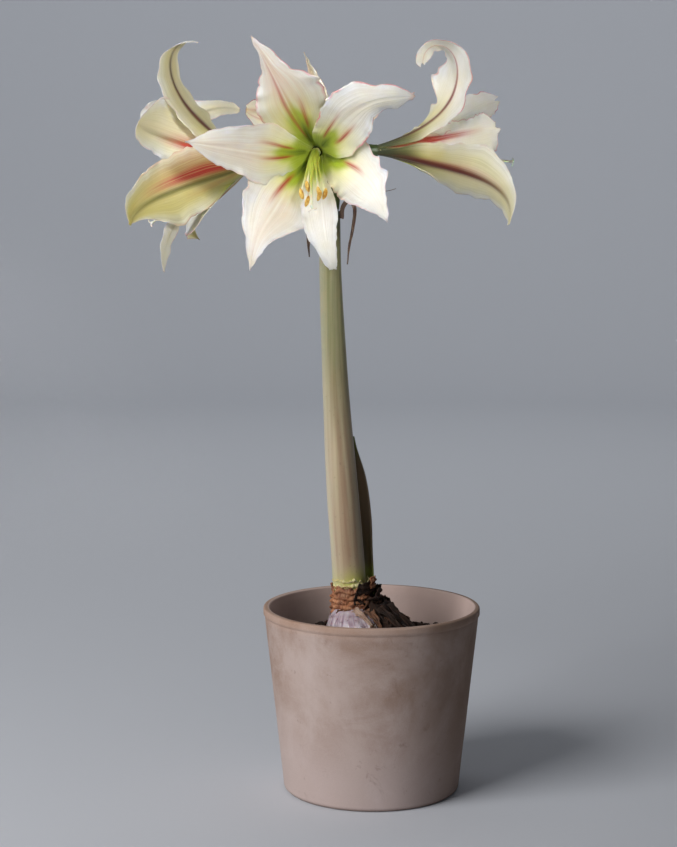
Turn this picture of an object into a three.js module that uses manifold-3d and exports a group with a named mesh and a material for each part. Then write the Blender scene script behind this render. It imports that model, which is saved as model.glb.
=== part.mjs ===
// A potted amaryllis in bloom: a flared clay pot, its soil, the bulb with a papery neck, one young
// leaf, a leaning flower stalk and an umbel of four blooms of six tepals each, with their stamens.
// Millimetres and degrees, +Z up. The origin is the centre of the pot's foot, and -Y is the side
// that the front bloom faces.

import * as THREE from "three";
import { mergeVertices } from "three/addons/utils/BufferGeometryUtils.js";
import Module from "manifold-3d";

const wasm = await Module();
wasm.setup();

const { degToRad, radToDeg, lerp, clamp, smoothstep, euclideanModulo } = THREE.MathUtils;

// ---------------------------------------------------------------- driving dimensions

const gap = 0.3; // between solids that touch
const weld = 1e-4; // vertices closer than this are one

const pot = {
  rimRadius: 90,
  footRadius: 73,
  height: 154,
  wall: 5.5,
  floor: 9,
  lipHeight: 6, // the faint band under the rim
  lipProud: 0.7,
  lipSlope: 2, // the height over which the wall runs out to the lip
  footRound: 4,
  sides: 44,
};

// The drain holes stand on a ring, clear of the floor's centre.
const drain = { count: 3, radius: 6, ring: 30, sides: 16 };

const soil = {
  top: 124,
  slack: 0.5, // to the pot's wall, beyond the gap
  edgeDrop: 4, // the surface's rim is this far below its top
  relief: 3.2,
  // Lumps and hollows: radians per millimetre along X and along Y, a phase and a share of the relief.
  waves: [[0.21, 0.17, 0.9, 0.23], [0.21, -0.17, 1.7, 0.23], [0.47, -0.31, 2.1, 0.3],
    [0.13, 0.53, 1.6, 0.25]],
  calmRim: 0.4, // the relief's share at the wall
  mound: 5, // heaped against the bulb
  moundFrom: 70,
  moundTo: 30,
  rings: 6,
  sides: 28,
};

const bulb = {
  centre: [-1, 0],
  neckShift: -9, // the neck leans this far off the bulb's middle
  neckShiftFrom: 128,
  neckShiftTo: 160,
  ridges: 7,
  ridgeHeight: 0.9,
  ridgesFrom: 80, // the height above which the ridges run
  profile: [[0, 70], [20, 71.5], [35, 85], [41.5, 100], [42, 114], [39.5, 127], [36, 138],
    [31.5, 147], [27, 153], [24.6, 158], [0, 160]],
  sides: 24,
};

// The dry skin: a ragged collar of rolled layers round the neck, and a mantle down the shoulders.
const tunic = {
  centre: [-10.5, 1],
  profile: [[0, 146], [26.5, 146], [25, 151], [24.6, 155], [26, 158], [23.8, 162], [25, 165],
    [22.6, 169], [21.6, 172.5], [0, 171.5]],
  depth: 0.84, // front to back against side to side
  folds: 0.9,
  foldTurns: [5, 3], // waves round the collar
  foldRise: [0.55, -0.3], // and radians per millimetre up it
  ragged: 2.2,
  raggedTurns: [4, 7],
  raggedDepth: 4, // the collar's edge is torn this far down
  mantle: 1.5, // stands this far off the bulb, less the gap
  mantleEdge: 127, // its lower edge, in the soil
  tornEdge: 157, // the same edge over the bare front left, between these two directions
  tornFrom: -176,
  tornTo: -94,
  tornRamp: 18,
  edgeTurns: 12, // waves round the mantle's edge
  sides: 24,
};

const scape = {
  spine: [[-17.4, 0, 151], [-19.2, 0, 185], [-23.6, 0, 242], [-28.2, 0, 309], [-31.8, 0, 375],
    [-34.2, 0, 432], [-34.4, 0, 481]],
  radius: [13.9, 13.6, 12.9, 11.3, 10, 9.1, 8.3],
  depth: 0.88,
  sides: 16,
  steps: 13,
};

const leaf = {
  spine: [[-1.5, 7, 152], [-2.2, 9, 182], [-6, 12.5, 215], [-10, 13.5, 252], [-15.5, 12.5, 294]],
  width: [8, 8.5, 15, 13, 1.2],
  thickness: 1.8,
  channel: 2.6, // the blade's depth as a gutter
  face: [0.35, 1, 0.1],
  across: 4,
  along: 11,
};

const spatheBlade = { thickness: 0.8, along: 11, across: 2 };
const spathes = {
  spathe_right: {
    spine: [[-25.2, -3.5, 474], [-23.4, -5, 484], [-18.5, -7.5, 489], [-14.4, -8.5, 483],
      [-15.4, -8.5, 468], [-18.8, -8.5, 451], [-20.3, -8, 437]],
    width: [7, 7.4, 6.6, 5.6, 4.2, 2.6, 1],
    face: [0.75, 0.66, 0],
  },
  spathe_left: {
    spine: [[-43.6, -3.5, 474], [-45.6, -5, 484], [-49.6, -7.5, 488], [-53, -8.5, 481],
      [-52.6, -8.5, 466], [-51.2, -8, 443]],
    width: [7, 7.4, 6.6, 5.2, 3.6, 1],
    face: [-0.75, 0.66, 0],
  },
};

const pedicel = {
  radius: 2.9,
  upright: 3, // it rises straight from the stalk for this long
  bow: [0.35, 0.6], // halfway, its share of the way across and of the way up
  elbow: 6, // it straightens this far behind the ovary
  ovaryRadius: 5.4,
  ovaryLength: 16,
  sides: 8,
  steps: 9,
};

// The plug under the tepals, which their roots are sunk into.
const floralTube = { footRadius: 4.4, mouthRadius: 7.4, length: 8.5, sides: 16 };

// Tepals. Lists run from root to tip in even steps. lean is the midrib's angle off the bloom's axis,
// swing its sideways drift round that axis, twist the blade's roll about its midrib, and cup the half
// angle of the arc across the blade, forward when positive. ruffle is the height of the edge's waves.
const outerTepal = {
  rootRadius: 5.3, rootDepth: 1.5, rootWidth: 9, length: 140, width: 54, widest: 0.56,
  lean: [10, 24, 44, 80, 125], swing: [0, 0, 0], twist: [0, 0, 0], cup: [50, 40, 16, 0, -20],
  ruffle: 2.2, waves: 2.2, phase: 0,
};
const innerTepal = {
  ...outerTepal, rootRadius: 4.1, length: 132, width: 46, lean: [6, 17, 38, 70, 110],
};
const blade = {
  thickness: 0.8,
  across: 4,
  along: 9,
  midribSteps: 60,
  tipWidth: 1.1,
  widening: 1.5, // how the width swells from the root, and how it draws in to the tip
  drawingIn: 1.3,
  ruffleFrom: 0.13, // the root's share that stays flat
  edgeShift: 0.13, // of a wave, between the two edges
};

const stamens = {
  count: 6,
  disc: { radius: 2.7, height: 2, sides: 10 },
  sunk: 1, // the filaments start this far up the disc
  radius: 0.85,
  sides: 3,
  steps: 5,
  anther: { radius: 1.9, length: 5, tilt: 29 },
  reach: [0.88, 0.94, 1], // three lengths in turn, as shares of the bloom's reach
  style: { radius: 1, reach: 1.45, stigma: 1.5 },
  // The way out to the tip: a share of the reach, how far the ring of filaments has opened sideways
  // and upwards, a lift, and a share of the droop.
  course: [
    { reach: 0, wide: 1.7, tall: 1.7, lift: 0, droop: 0 },
    { reach: 0.35, wide: 3, tall: 2.5, lift: 0, droop: 0.2 },
    { reach: 0.7, wide: 6, tall: 3, lift: 1, droop: 0.6 },
    { reach: 1, wide: 9, tall: 4, lift: 3, droop: 1 },
  ],
};

// heading is the way the bloom faces, 0 towards -Y and positive towards +X, and rise is above level.
// turn places a tepal counterclockwise from the bloom's top, as seen from its mouth. foot is where the
// pedicel stands on the stalk, and base where the tepals begin. droop is how far the stamens fall and
// drift to one side over their reach.
const blooms = [
  {
    name: "front", heading: -8, rise: -8, foot: [-34.4, -4.6], base: [-44.6, -24, 527],
    droop: { down: 20, reach: 64, side: 5, styleDown: 25 },
    tepals: [
      { ...outerTepal, turn: 6, length: 146, width: 56, lean: [10, 25, 43, 71, 105],
        swing: [0, 10, 29], twist: [0, -12, -43], cup: [50, 40, -4, -21, -17] }, // the tall one at the top
      { ...outerTepal, turn: 148, length: 137, width: 56, lean: [10, 22, 35, 62, 97],
        swing: [0, -1, 15], twist: [0, 9, 41], cup: [50, 40, 14, 3, -9] }, // lower left
      { ...outerTepal, turn: -90, length: 138, width: 57, lean: [10, 25, 33, 51, 86],
        swing: [0, -17, -68], twist: [0, 3, 21], cup: [50, 40, 17, 14, -14] }, // lower right
      { ...innerTepal, turn: 78, length: 137, lean: [6, 18, 40, 67, 98],
        swing: [0, -3, 7], twist: [0, -6, -16], cup: [50, 40, 14, 5, -21] }, // left
      { ...innerTepal, turn: 201, length: 132, width: 30, lean: [6, 19, 42, 80, 131],
        swing: [0, -4, -10], twist: [0, 4, 3], cup: [50, 40, 17, 6, -18] }, // the narrow lowest
      { ...innerTepal, turn: -51, length: 146, width: 51, lean: [6, 23, 50, 81, 108],
        swing: [0, 6, -38], twist: [0, 27, 65], cup: [50, 40, 18, -36, -13] }, // upper right
    ],
  },
  {
    name: "right", heading: 88, rise: 2, foot: [-29.9, 0.3], base: [1.3, 2, 528.8],
    droop: { down: 7, reach: 70, side: -2, styleDown: 6 },
    tepals: [
      { ...outerTepal, turn: 19, length: 152, lean: [14, 29, 65, 126, 282],
        swing: [0, 4, 2], twist: [0, 18, 18], cup: [50, 40, -15, 15, -18] }, // rolled back over the top
      { ...outerTepal, turn: 145, length: 140, width: 56, lean: [10, 18, 21, 48, 109],
        swing: [0, 3, 11], twist: [0, -14, -21], cup: [50, 40, 5, 28, -16] }, // lower front
      { ...outerTepal, turn: -112, length: 130, lean: [10, 18, 24, 42, 80] }, // far side, below
      { ...innerTepal, turn: 66, length: 127, width: 50, lean: [6, 16, 37, 57, 63],
        swing: [0, 7, 31], twist: [0, -11, 22], cup: [50, 40, 40, 9, -29] }, // front
      { ...innerTepal, turn: 188, length: 120, width: 30, lean: [6, 12, 18, 32, 60] }, // the narrow lowest
      { ...innerTepal, turn: -41, length: 112, width: 50, lean: [6, 17, 30, 30, 16],
        swing: [0, 7, 20], twist: [0, 33, 72], cup: [50, 40, 17, -11, -12] }, // far side, above
    ],
  },
  {
    name: "left", heading: -106, rise: -8, foot: [-38.9, 0.3], base: [-88, 4, 522],
    droop: { down: 15, reach: 68, side: 2, styleDown: 40 },
    tepals: [
      { ...outerTepal, turn: -4, length: 149, width: 49, lean: [14, 43, 61, 101, 209],
        swing: [0, -2, 5], twist: [0, -6, 8], cup: [50, 40, 5, 17, -18] }, // rolled back over the top
      { ...outerTepal, turn: 124, length: 145, lean: [10, 24, 37, 65, 108], swing: [0, 1, 0] }, // below
      { ...outerTepal, turn: -131, length: 133, width: 55, lean: [10, 17, 21, 49, 102],
        swing: [0, 9, 7], twist: [0, 26, 49], cup: [50, 40, 18, -10, -20] }, // lower front
      { ...innerTepal, turn: 40, length: 156, width: 50, lean: [6, 19, 58, 156, 215],
        swing: [0, 1, 7], twist: [0, -22, -32], cup: [50, 40, 23, 8, -21] }, // far side, curled right back
      { ...innerTepal, turn: 190, length: 134, width: 30, lean: [6, 19, 38, 66, 101],
        swing: [0, 7, 12] }, // the narrow lowest
      { ...innerTepal, turn: -49, length: 115, width: 50, lean: [6, 34, 50, 58, 103],
        swing: [0, -7, -35], twist: [0, -7, -17], cup: [50, 40, 14, 2, -9] }, // upper front
    ],
  },
  {
    name: "back", heading: 176, rise: 3, foot: [-34.4, 4.6], base: [-30, 25, 524],
    droop: { down: 6, reach: 60, side: -6, styleDown: 9 },
    tepals: [
      { ...outerTepal, turn: -20, length: 136, width: 44, lean: [10, 22, 45, 80, 124],
        twist: [0, 30, 60] }, // top
      { ...outerTepal, turn: 120, length: 112, lean: [10, 13, 18, 24, 40] }, // lower right
      { ...outerTepal, turn: -86, length: 132, lean: [10, 21, 43, 80, 126], swing: [0, 8, 10] }, // left
      { ...innerTepal, turn: 50, length: 114, width: 24, lean: [6, 13, 34, 104, 205],
        twist: [0, 20, 40] }, // the narrow, twisted one on the right
      { ...innerTepal, turn: 192, length: 112, width: 30, lean: [6, 12, 18, 28, 50] }, // the narrow lowest
      { ...innerTepal, turn: -50, length: 124, lean: [6, 16, 34, 70, 110], swing: [0, 5, 8] }, // upper left
    ],
  },
];

const finishes = {
  clay: { color: 0xa08d82, roughness: 0.9 },
  earth: { color: 0x2e211a, roughness: 1 },
  scale: { color: 0x8d6f78, roughness: 0.6 },
  drySkin: { color: 0x7d5233, roughness: 0.6 },
  stalk: { color: 0x8e8c62, roughness: 0.45 },
  leaf: { color: 0x3f4425, roughness: 0.45 },
  dryBract: { color: 0x55392f, roughness: 0.8 },
  petal: { color: 0xf1ecdf, roughness: 0.5 },
  filament: { color: 0xb9c25e, roughness: 0.5 },
  green: { color: 0x4d5a2a, roughness: 0.5 },
};

// ---------------------------------------------------------------- solids and meshes

function solidOf(geometry) {
  const bare = geometry.clone();
  bare.deleteAttribute("normal");
  bare.deleteAttribute("uv");
  const merged = mergeVertices(bare, weld);
  return new wasm.Manifold(new wasm.Mesh({
    numProp: 3,
    vertProperties: merged.attributes.position.array,
    triVerts: new Uint32Array(merged.index.array),
  }));
}

function geometryOf(solid) {
  const mesh = solid.getMesh();
  const geometry = new THREE.BufferGeometry();
  geometry.setAttribute("position", new THREE.BufferAttribute(mesh.vertProperties, 3));
  geometry.setIndex(new THREE.BufferAttribute(mesh.triVerts, 1));
  geometry.computeVertexNormals();
  return geometry;
}

function meshOf(name, solid, finish) {
  const material = new THREE.MeshStandardMaterial({ ...finish, metalness: 0 });
  const mesh = new THREE.Mesh(geometryOf(solid), material);
  mesh.name = name;
  return mesh;
}

function moveVertices(geometry, move) {
  const position = geometry.attributes.position;
  const point = new THREE.Vector3();
  for (let i = 0; i < position.count; i++) {
    point.fromBufferAttribute(position, i);
    move(point);
    position.setXYZ(i, point.x, point.y, point.z);
  }
  return geometry;
}

// A body of revolution about +Z from [radius, height] pairs that start and end on the axis.
function latheUp(profile, sides) {
  const points = profile.map(([radius, height]) => new THREE.Vector2(radius, height));
  return new THREE.LatheGeometry(points, sides).rotateX(Math.PI / 2);
}

// Points of an arc in a profile, round [radius, height], from one angle to another in degrees.
function arc([radius, height], size, from, to, steps) {
  return Array.from({ length: steps + 1 }, (_, i) => {
    const angle = degToRad(lerp(from, to, i / steps));
    return [radius + Math.cos(angle) * size, height + Math.sin(angle) * size];
  });
}

// A profile with its surface moved outwards, each point along the normal between its neighbours.
function grownProfile(profile, grow) {
  return profile.map(([radius, height], i) => {
    const before = profile[Math.max(i - 1, 0)];
    const after = profile[Math.min(i + 1, profile.length - 1)];
    const [across, up] = [after[0] - before[0], after[1] - before[1]];
    const step = grow / Math.hypot(across, up);
    return [radius === 0 ? 0 : radius + up * step, height - across * step];
  });
}

// A smooth value at s (0 to 1) of keys that stand at even steps.
function keyed(keys, s) {
  const x = clamp(s, 0, 1) * (keys.length - 1);
  const i = Math.min(Math.floor(x), keys.length - 2);
  const f = x - i;
  const before = keys[Math.max(i - 1, 0)];
  const after = keys[Math.min(i + 2, keys.length - 1)];
  const [start, end] = [keys[i], keys[i + 1]];
  return 0.5 * (2 * start + (end - before) * f + (2 * before - 5 * start + 4 * end - after) * f * f
    + (3 * start - before - 3 * end + after) * f * f * f);
}

// A round rod that follows a spine of points, with its radius keyed along it.
function rodAlong(spine, radii, sides, steps, depth = 1) {
  const curve = new THREE.CatmullRomCurve3(spine.map((point) => new THREE.Vector3(...point)));
  const frames = curve.computeFrenetFrames(steps);
  const points = curve.getSpacedPoints(steps);
  const rod = new THREE.CylinderGeometry(1, 1, 1, sides, steps).rotateX(Math.PI / 2);
  return moveVertices(rod, (point) => {
    const step = Math.round((point.z + 0.5) * steps);
    const radius = keyed(radii, step / steps);
    const offset = frames.normals[step].clone().multiplyScalar(-point.x * radius)
      .addScaledVector(frames.binormals[step], -point.y * radius);
    if (depth !== 1) offset.y *= depth;
    point.copy(points[step]).add(offset);
  });
}

// A closed sheet from a grid of points: place(s, t) gives a point of its middle surface, with s from
// 0 at the root to 1 at the tip and t from -1 to 1 across. Both faces are split alike.
function sheetOf(place, along, across, thickness) {
  const point = (row, column) => place(row / along, (2 * column) / across - 1);
  const columns = across + 1;
  const faces = { front: [], back: [] };
  for (let row = 0; row <= along; row++) {
    for (let column = 0; column <= across; column++) {
      const [low, high] = [point(Math.max(row - 1, 0), column), point(Math.min(row + 1, along), column)];
      const [near, far] = [point(row, Math.max(column - 1, 0)), point(row, Math.min(column + 1, across))];
      const normal = far.sub(near).cross(high.sub(low)).normalize().multiplyScalar(-thickness / 2);
      const middle = point(row, column);
      faces.front.push(...middle.clone().add(normal).toArray());
      faces.back.push(...middle.sub(normal).toArray());
    }
  }
  const backStart = (along + 1) * columns;
  const triangles = [];
  for (let row = 0; row < along; row++) {
    for (let column = 0; column < across; column++) {
      const a = row * columns + column;
      const [b, c, d] = [a + 1, a + columns, a + columns + 1];
      triangles.push(a, c, b, b, c, d);
      triangles.push(...[a, b, c, b, d, c].map((index) => index + backStart));
    }
  }
  const last = along * columns;
  const edge = [
    ...Array.from({ length: across }, (_, i) => i),
    ...Array.from({ length: along }, (_, i) => i * columns + across),
    ...Array.from({ length: across }, (_, i) => last + across - i),
    ...Array.from({ length: along }, (_, i) => last - i * columns),
  ];
  edge.forEach((from, i) => {
    const to = edge[(i + 1) % edge.length];
    triangles.push(from, to, from + backStart, to, to + backStart, from + backStart);
  });
  const sheet = new THREE.BufferGeometry();
  sheet.setAttribute("position", new THREE.Float32BufferAttribute([...faces.front, ...faces.back], 3));
  sheet.setIndex(triangles);
  return sheet;
}

// A strap that follows a spine of points, its width keyed along it and its back towards face.
function strapAlong({ spine, width, channel = 0, face = [0, 1, 0] }, along, across, thickness) {
  const curve = new THREE.CatmullRomCurve3(spine.map((point) => new THREE.Vector3(...point)));
  const back = new THREE.Vector3(...face).normalize();
  return sheetOf((s, t) => {
    const side = curve.getTangentAt(s).cross(back).normalize();
    const depth = channel * (t * t - 0.5) * Math.sin(Math.PI * Math.min(s + 0.12, 1));
    return curve.getPointAt(s).addScaledVector(side, (keyed(width, s) / 2) * t)
      .addScaledVector(back, -depth);
  }, along, across, thickness);
}

// ---------------------------------------------------------------- pot and soil

const outerAt = (z) => lerp(pot.footRadius, pot.rimRadius - pot.lipProud, z / pot.height);
const innerAt = (z) => outerAt(z) - pot.wall;

function potSolid() {
  const { rimRadius, height, wall, floor, lipHeight, lipSlope, footRound } = pot;
  const lipStart = height - lipHeight;
  const lipRound = wall / 2;
  const body = solidOf(latheUp([
    [0, 0],
    ...arc([outerAt(footRound) - footRound, footRound], footRound, -90, 0, 3),
    [outerAt(lipStart - lipSlope), lipStart - lipSlope],
    [rimRadius, lipStart],
    ...arc([rimRadius - lipRound, height - lipRound], lipRound, 0, 180, 3),
    ...arc([innerAt(floor + footRound) - footRound, floor + footRound], footRound, 0, -90, 2),
    [0, floor],
  ], pot.sides));
  const holes = Array.from({ length: drain.count }, (_, i) => {
    const angle = degToRad(90 + (360 * i) / drain.count);
    return solidOf(new THREE.CylinderGeometry(drain.radius, drain.radius, floor * 3, drain.sides)
      .rotateX(Math.PI / 2)
      .translate(Math.cos(angle) * drain.ring, Math.sin(angle) * drain.ring, 0));
  });
  return holes.reduce((left, hole) => left.subtract(hole), body);
}

function soilRelief(x, y) {
  return soil.waves.reduce((sum, [alongX, alongY, phase, share]) => {
    return sum + share * Math.sin(alongX * x + alongY * y + phase);
  }, 0);
}

function soilSolid(bulbSpace) {
  const sideAt = (z) => innerAt(z) - gap - soil.slack;
  const bottom = pot.floor + gap;
  const corner = pot.footRound + soil.slack;
  const rimHeight = soil.top - soil.edgeDrop;
  const surface = Array.from({ length: soil.rings + 1 }, (_, i) => {
    return [sideAt(rimHeight) * (1 - i / soil.rings), soil.top];
  });
  const filled = latheUp([
    [0, bottom],
    ...arc([sideAt(bottom + corner) - corner, bottom + corner], corner, -90, 0, 2),
    [sideAt(rimHeight), rimHeight],
    ...surface,
  ], soil.sides);
  moveVertices(filled, (point) => {
    if (point.z < soil.top - weld) return;
    const radius = Math.hypot(point.x, point.y);
    const inside = 1 - smoothstep(radius, sideAt(rimHeight) * 0.9, sideAt(rimHeight));
    const fromBulb = Math.hypot(point.x - bulb.centre[0], point.y - bulb.centre[1]);
    const heaped = 1 - smoothstep(fromBulb, soil.moundTo, soil.moundFrom);
    point.z += soil.relief * soilRelief(point.x, point.y) * lerp(soil.calmRim, 1, inside)
      + soil.mound * heaped;
  });
  return solidOf(filled).subtract(bulbSpace);
}

// ---------------------------------------------------------------- bulb, tunic, leaf and stalk

function bulbSolid(grow = 0) {
  const body = latheUp(grownProfile(bulb.profile, grow), bulb.sides);
  moveVertices(body, (point) => {
    const angle = Math.atan2(point.y, point.x);
    const radius = Math.hypot(point.x, point.y);
    const ridge = point.z > bulb.ridgesFrom ? Math.cos(angle * bulb.ridges) * bulb.ridgeHeight : 0;
    const ridged = radius > 0 ? (radius + ridge) / radius : 1;
    const lean = bulb.neckShift * smoothstep(point.z, bulb.neckShiftFrom, bulb.neckShiftTo);
    point.set(point.x * ridged + bulb.centre[0] + lean, point.y * ridged + bulb.centre[1], point.z);
  });
  return solidOf(body);
}

function scapeSolid(grow = 0) {
  const spine = scape.spine.map((point) => [...point]);
  if (grow) {
    spine[0][2] -= grow;
    spine.push([spine.at(-1)[0], 0, spine.at(-1)[2] + grow]);
  }
  const radii = scape.radius.map((radius) => radius + grow / scape.depth);
  return solidOf(rodAlong(spine, radii, scape.sides, scape.steps, scape.depth));
}

function leafSolid(grow = 0) {
  const wider = { ...leaf, width: leaf.width.map((width) => width + 2 * grow) };
  if (grow) wider.spine = [[...leaf.spine[0].slice(0, 2), leaf.spine[0][2] - grow], ...leaf.spine.slice(1)];
  return solidOf(strapAlong(wider, leaf.along, leaf.across, leaf.thickness + 2 * grow));
}

function tunicCollar() {
  const { profile, centre, depth, folds, foldTurns, foldRise, ragged, raggedTurns, raggedDepth } = tunic;
  const top = Math.max(...profile.map(([, z]) => z));
  return moveVertices(latheUp(profile, tunic.sides), (point) => {
    const angle = Math.atan2(point.y, point.x);
    const radius = Math.hypot(point.x, point.y);
    if (radius < weld) {
      point.set(centre[0], centre[1], point.z);
      return;
    }
    const fold = Math.sin(angle * foldTurns[0] + point.z * foldRise[0])
      * Math.cos(angle * foldTurns[1] + point.z * foldRise[1]);
    const torn = point.z > top - raggedDepth ? 1 : 0;
    const tear = torn * Math.sin(angle * raggedTurns[0] + 1) * Math.cos(angle * raggedTurns[1]);
    const width = radius + folds * fold;
    point.set(Math.cos(angle) * width + centre[0],
      Math.sin(angle) * width * depth + centre[1], point.z + ragged * tear);
  });
}

// The collar and a mantle over the bulb's shoulders, all above a torn edge.
function tunicWhole(grow = 0) {
  const { tornFrom, tornTo, tornRamp, tornEdge, mantleEdge, edgeTurns } = tunic;
  const [insideNeck, pastShoulders, aboveCollar] = [16, 60, 190];
  const ring = latheUp(
    [[0, -1], [insideNeck, -1], [pastShoulders, -1], [pastShoulders, 1], [0, 1]], 32);
  moveVertices(ring, (point) => {
    const degrees = euclideanModulo(radToDeg(Math.atan2(point.y, point.x)), 360) - 360;
    const bare = smoothstep(degrees, tornFrom, tornFrom + tornRamp)
      * (1 - smoothstep(degrees, tornTo - tornRamp, tornTo));
    const edge = lerp(mantleEdge, tornEdge, bare)
      + tunic.ragged * Math.sin(degToRad(degrees) * edgeTurns) - grow;
    point.z = point.z > 0 ? aboveCollar : edge;
  });
  return solidOf(tunicCollar()).add(bulbSolid(tunic.mantle + grow)).intersect(solidOf(ring));
}

// ---------------------------------------------------------------- blooms

// Turns bloom coordinates (+Z out of the mouth, +Y its top) into the plant's.
function bloomMatrix({ heading, rise, base }) {
  const [turn, lift] = [degToRad(heading), degToRad(rise)];
  const out = new THREE.Vector3(
    Math.sin(turn) * Math.cos(lift), -Math.cos(turn) * Math.cos(lift), Math.sin(lift));
  const right = new THREE.Vector3(0, 0, 1).cross(out).normalize();
  const up = out.clone().cross(right);
  return new THREE.Matrix4().makeBasis(right, up, out).setPosition(...base);
}

// The midrib as frames: the point, the blade's face normal and the side direction.
function midribOf(tepal) {
  const radial = (turn) => new THREE.Vector3(-Math.sin(turn), Math.cos(turn), 0);
  const root = radial(degToRad(tepal.turn)).multiplyScalar(tepal.rootRadius);
  root.z = tepal.rootDepth;
  const frames = [];
  for (let i = 0; i <= blade.midribSteps; i++) {
    const s = i / blade.midribSteps;
    const lean = degToRad(keyed(tepal.lean, s));
    const turn = degToRad(tepal.turn + keyed(tepal.swing, s));
    const twist = degToRad(keyed(tepal.twist, s));
    const outward = radial(turn);
    const along = outward.clone().multiplyScalar(Math.sin(lean)).setZ(Math.cos(lean));
    const face = outward.clone().multiplyScalar(-Math.cos(lean)).setZ(Math.sin(lean));
    const side = new THREE.Vector3(-Math.cos(turn), -Math.sin(turn), 0);
    frames.push({
      point: root.clone(),
      side: side.clone().multiplyScalar(Math.cos(twist)).addScaledVector(face, Math.sin(twist)),
      face: face.clone().multiplyScalar(Math.cos(twist)).addScaledVector(side, -Math.sin(twist)),
    });
    root.addScaledVector(along, tepal.length / blade.midribSteps);
  }
  return frames;
}

// An ovate blade: it widens smoothly from its root, and runs out to a drawn-out tip.
function bladeWidth({ rootWidth, width, widest }, s) {
  if (s < widest) {
    const x = Math.sin((Math.PI / 2) * (s / widest));
    return rootWidth + (width - rootWidth) * Math.pow(x, blade.widening);
  }
  const x = (s - widest) / (1 - widest);
  return Math.max(blade.tipWidth, width * Math.pow(1 - x * x, blade.drawingIn));
}

function tepalSolid(tepal) {
  const frames = midribOf(tepal);
  const sheet = sheetOf((s, t) => {
    const at = s * blade.midribSteps;
    const index = Math.min(Math.floor(at), blade.midribSteps - 1);
    const [low, high] = [frames[index], frames[index + 1]];
    const part = at - index;
    const cup = degToRad(keyed(tepal.cup, s)) || weld;
    const half = bladeWidth(tepal, s) / 2;
    const swell = Math.sin(Math.PI * clamp((s - blade.ruffleFrom) / (1 - blade.ruffleFrom), 0, 1));
    const turns = tepal.waves * s + blade.edgeShift * Math.sign(t);
    const wave = tepal.ruffle * swell * t * t * Math.sin(2 * Math.PI * turns + tepal.phase);
    return low.point.clone().lerp(high.point, part)
      .addScaledVector(low.side.clone().lerp(high.side, part), (half * Math.sin(cup * t)) / cup)
      .addScaledVector(low.face.clone().lerp(high.face, part), (half * (1 - Math.cos(cup * t))) / cup + wave);
  }, blade.along, blade.across, blade.thickness);
  return solidOf(sheet);
}

function tepalsSolid(bloom) {
  const { footRadius, mouthRadius, length, sides } = floralTube;
  const plug = latheUp([[0, 0], [footRadius, 0], [mouthRadius, length], [0, length]], sides);
  return bloom.tepals.reduce((fused, tepal) => fused.add(tepalSolid(tepal)), solidOf(plug))
    .transform(bloomMatrix(bloom).elements);
}

// One filament with its anther, or the style with its stigma.
function stamenSolid({ droop, angle, spread, share, fall, radius, tip }) {
  const foot = floralTube.length + gap + stamens.sunk;
  const reach = droop.reach * share - stamens.sunk;
  const [x, y] = [-Math.sin(angle) * spread, Math.cos(angle) * spread];
  const spine = stamens.course.map((at) => [
    x * at.wide + droop.side * share * at.droop,
    y * at.tall + at.lift - fall * at.droop,
    foot + reach * at.reach,
  ]);
  const rod = rodAlong(spine, [radius * 1.2, radius, radius * 0.8], stamens.sides, stamens.steps);
  const end = new THREE.SphereGeometry(1, 6, 3).scale(tip.radius, tip.length, tip.radius)
    .rotateX(degToRad(tip.tilt)).translate(...spine.at(-1));
  return solidOf(rod).add(solidOf(end));
}

// Six filaments with anthers, and a longer style, all rising from one small disc in the throat.
function stamensSolid(bloom) {
  const { count, disc, anther, style } = stamens;
  const { droop } = bloom;
  const base = new THREE.CylinderGeometry(disc.radius, disc.radius, disc.height, disc.sides)
    .rotateX(Math.PI / 2).translate(0, 0, floralTube.length + gap + disc.height / 2);
  const filaments = Array.from({ length: count }, (_, i) => {
    const share = stamens.reach[i % stamens.reach.length];
    const angle = degToRad((360 / count) * (i + 0.5));
    return stamenSolid({
      droop, angle, spread: 1, share, fall: droop.down * share, radius: stamens.radius, tip: anther,
    });
  });
  const stigma = { radius: style.stigma, length: style.stigma, tilt: 0 };
  const pistil = stamenSolid({
    droop, angle: 0, spread: 0, share: style.reach, fall: droop.styleDown, radius: style.radius, tip: stigma,
  });
  return [...filaments, pistil].reduce((fused, rod) => fused.add(rod), solidOf(base))
    .transform(bloomMatrix(bloom).elements);
}

// The pedicel stands on the stalk's top, swells into the ovary and ends under the floral tube.
function pedicelSolid(bloom, stalkSpace) {
  const { radius, upright, bow, ovaryRadius, ovaryLength, sides, steps } = pedicel;
  const toPlant = bloomMatrix(bloom);
  const inBloom = (z) => new THREE.Vector3(0, 0, z).applyMatrix4(toPlant).toArray();
  const foot = [...bloom.foot, scape.spine.at(-1)[2] + gap];
  const elbow = inBloom(-ovaryLength - pedicel.elbow);
  const between = (across, up) => [
    lerp(foot[0], elbow[0], across), lerp(foot[1], elbow[1], across), lerp(foot[2], elbow[2], up),
  ];
  const spine = [
    foot, between(0.03, upright / (elbow[2] - foot[2])), between(...bow), elbow,
    inBloom(-ovaryLength / 2), inBloom(-gap),
  ];
  const radii = [radius, radius, radius, radius * 1.1, ovaryRadius, floralTube.footRadius];
  return solidOf(rodAlong(spine, radii, sides, steps)).subtract(stalkSpace);
}

// ---------------------------------------------------------------- the plant

const plant = new THREE.Group();

plant.add(meshOf("pot", potSolid(), finishes.clay));
plant.add(meshOf("soil", soilSolid(bulbSolid(gap).add(tunicWhole(gap))), finishes.earth));

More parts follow.
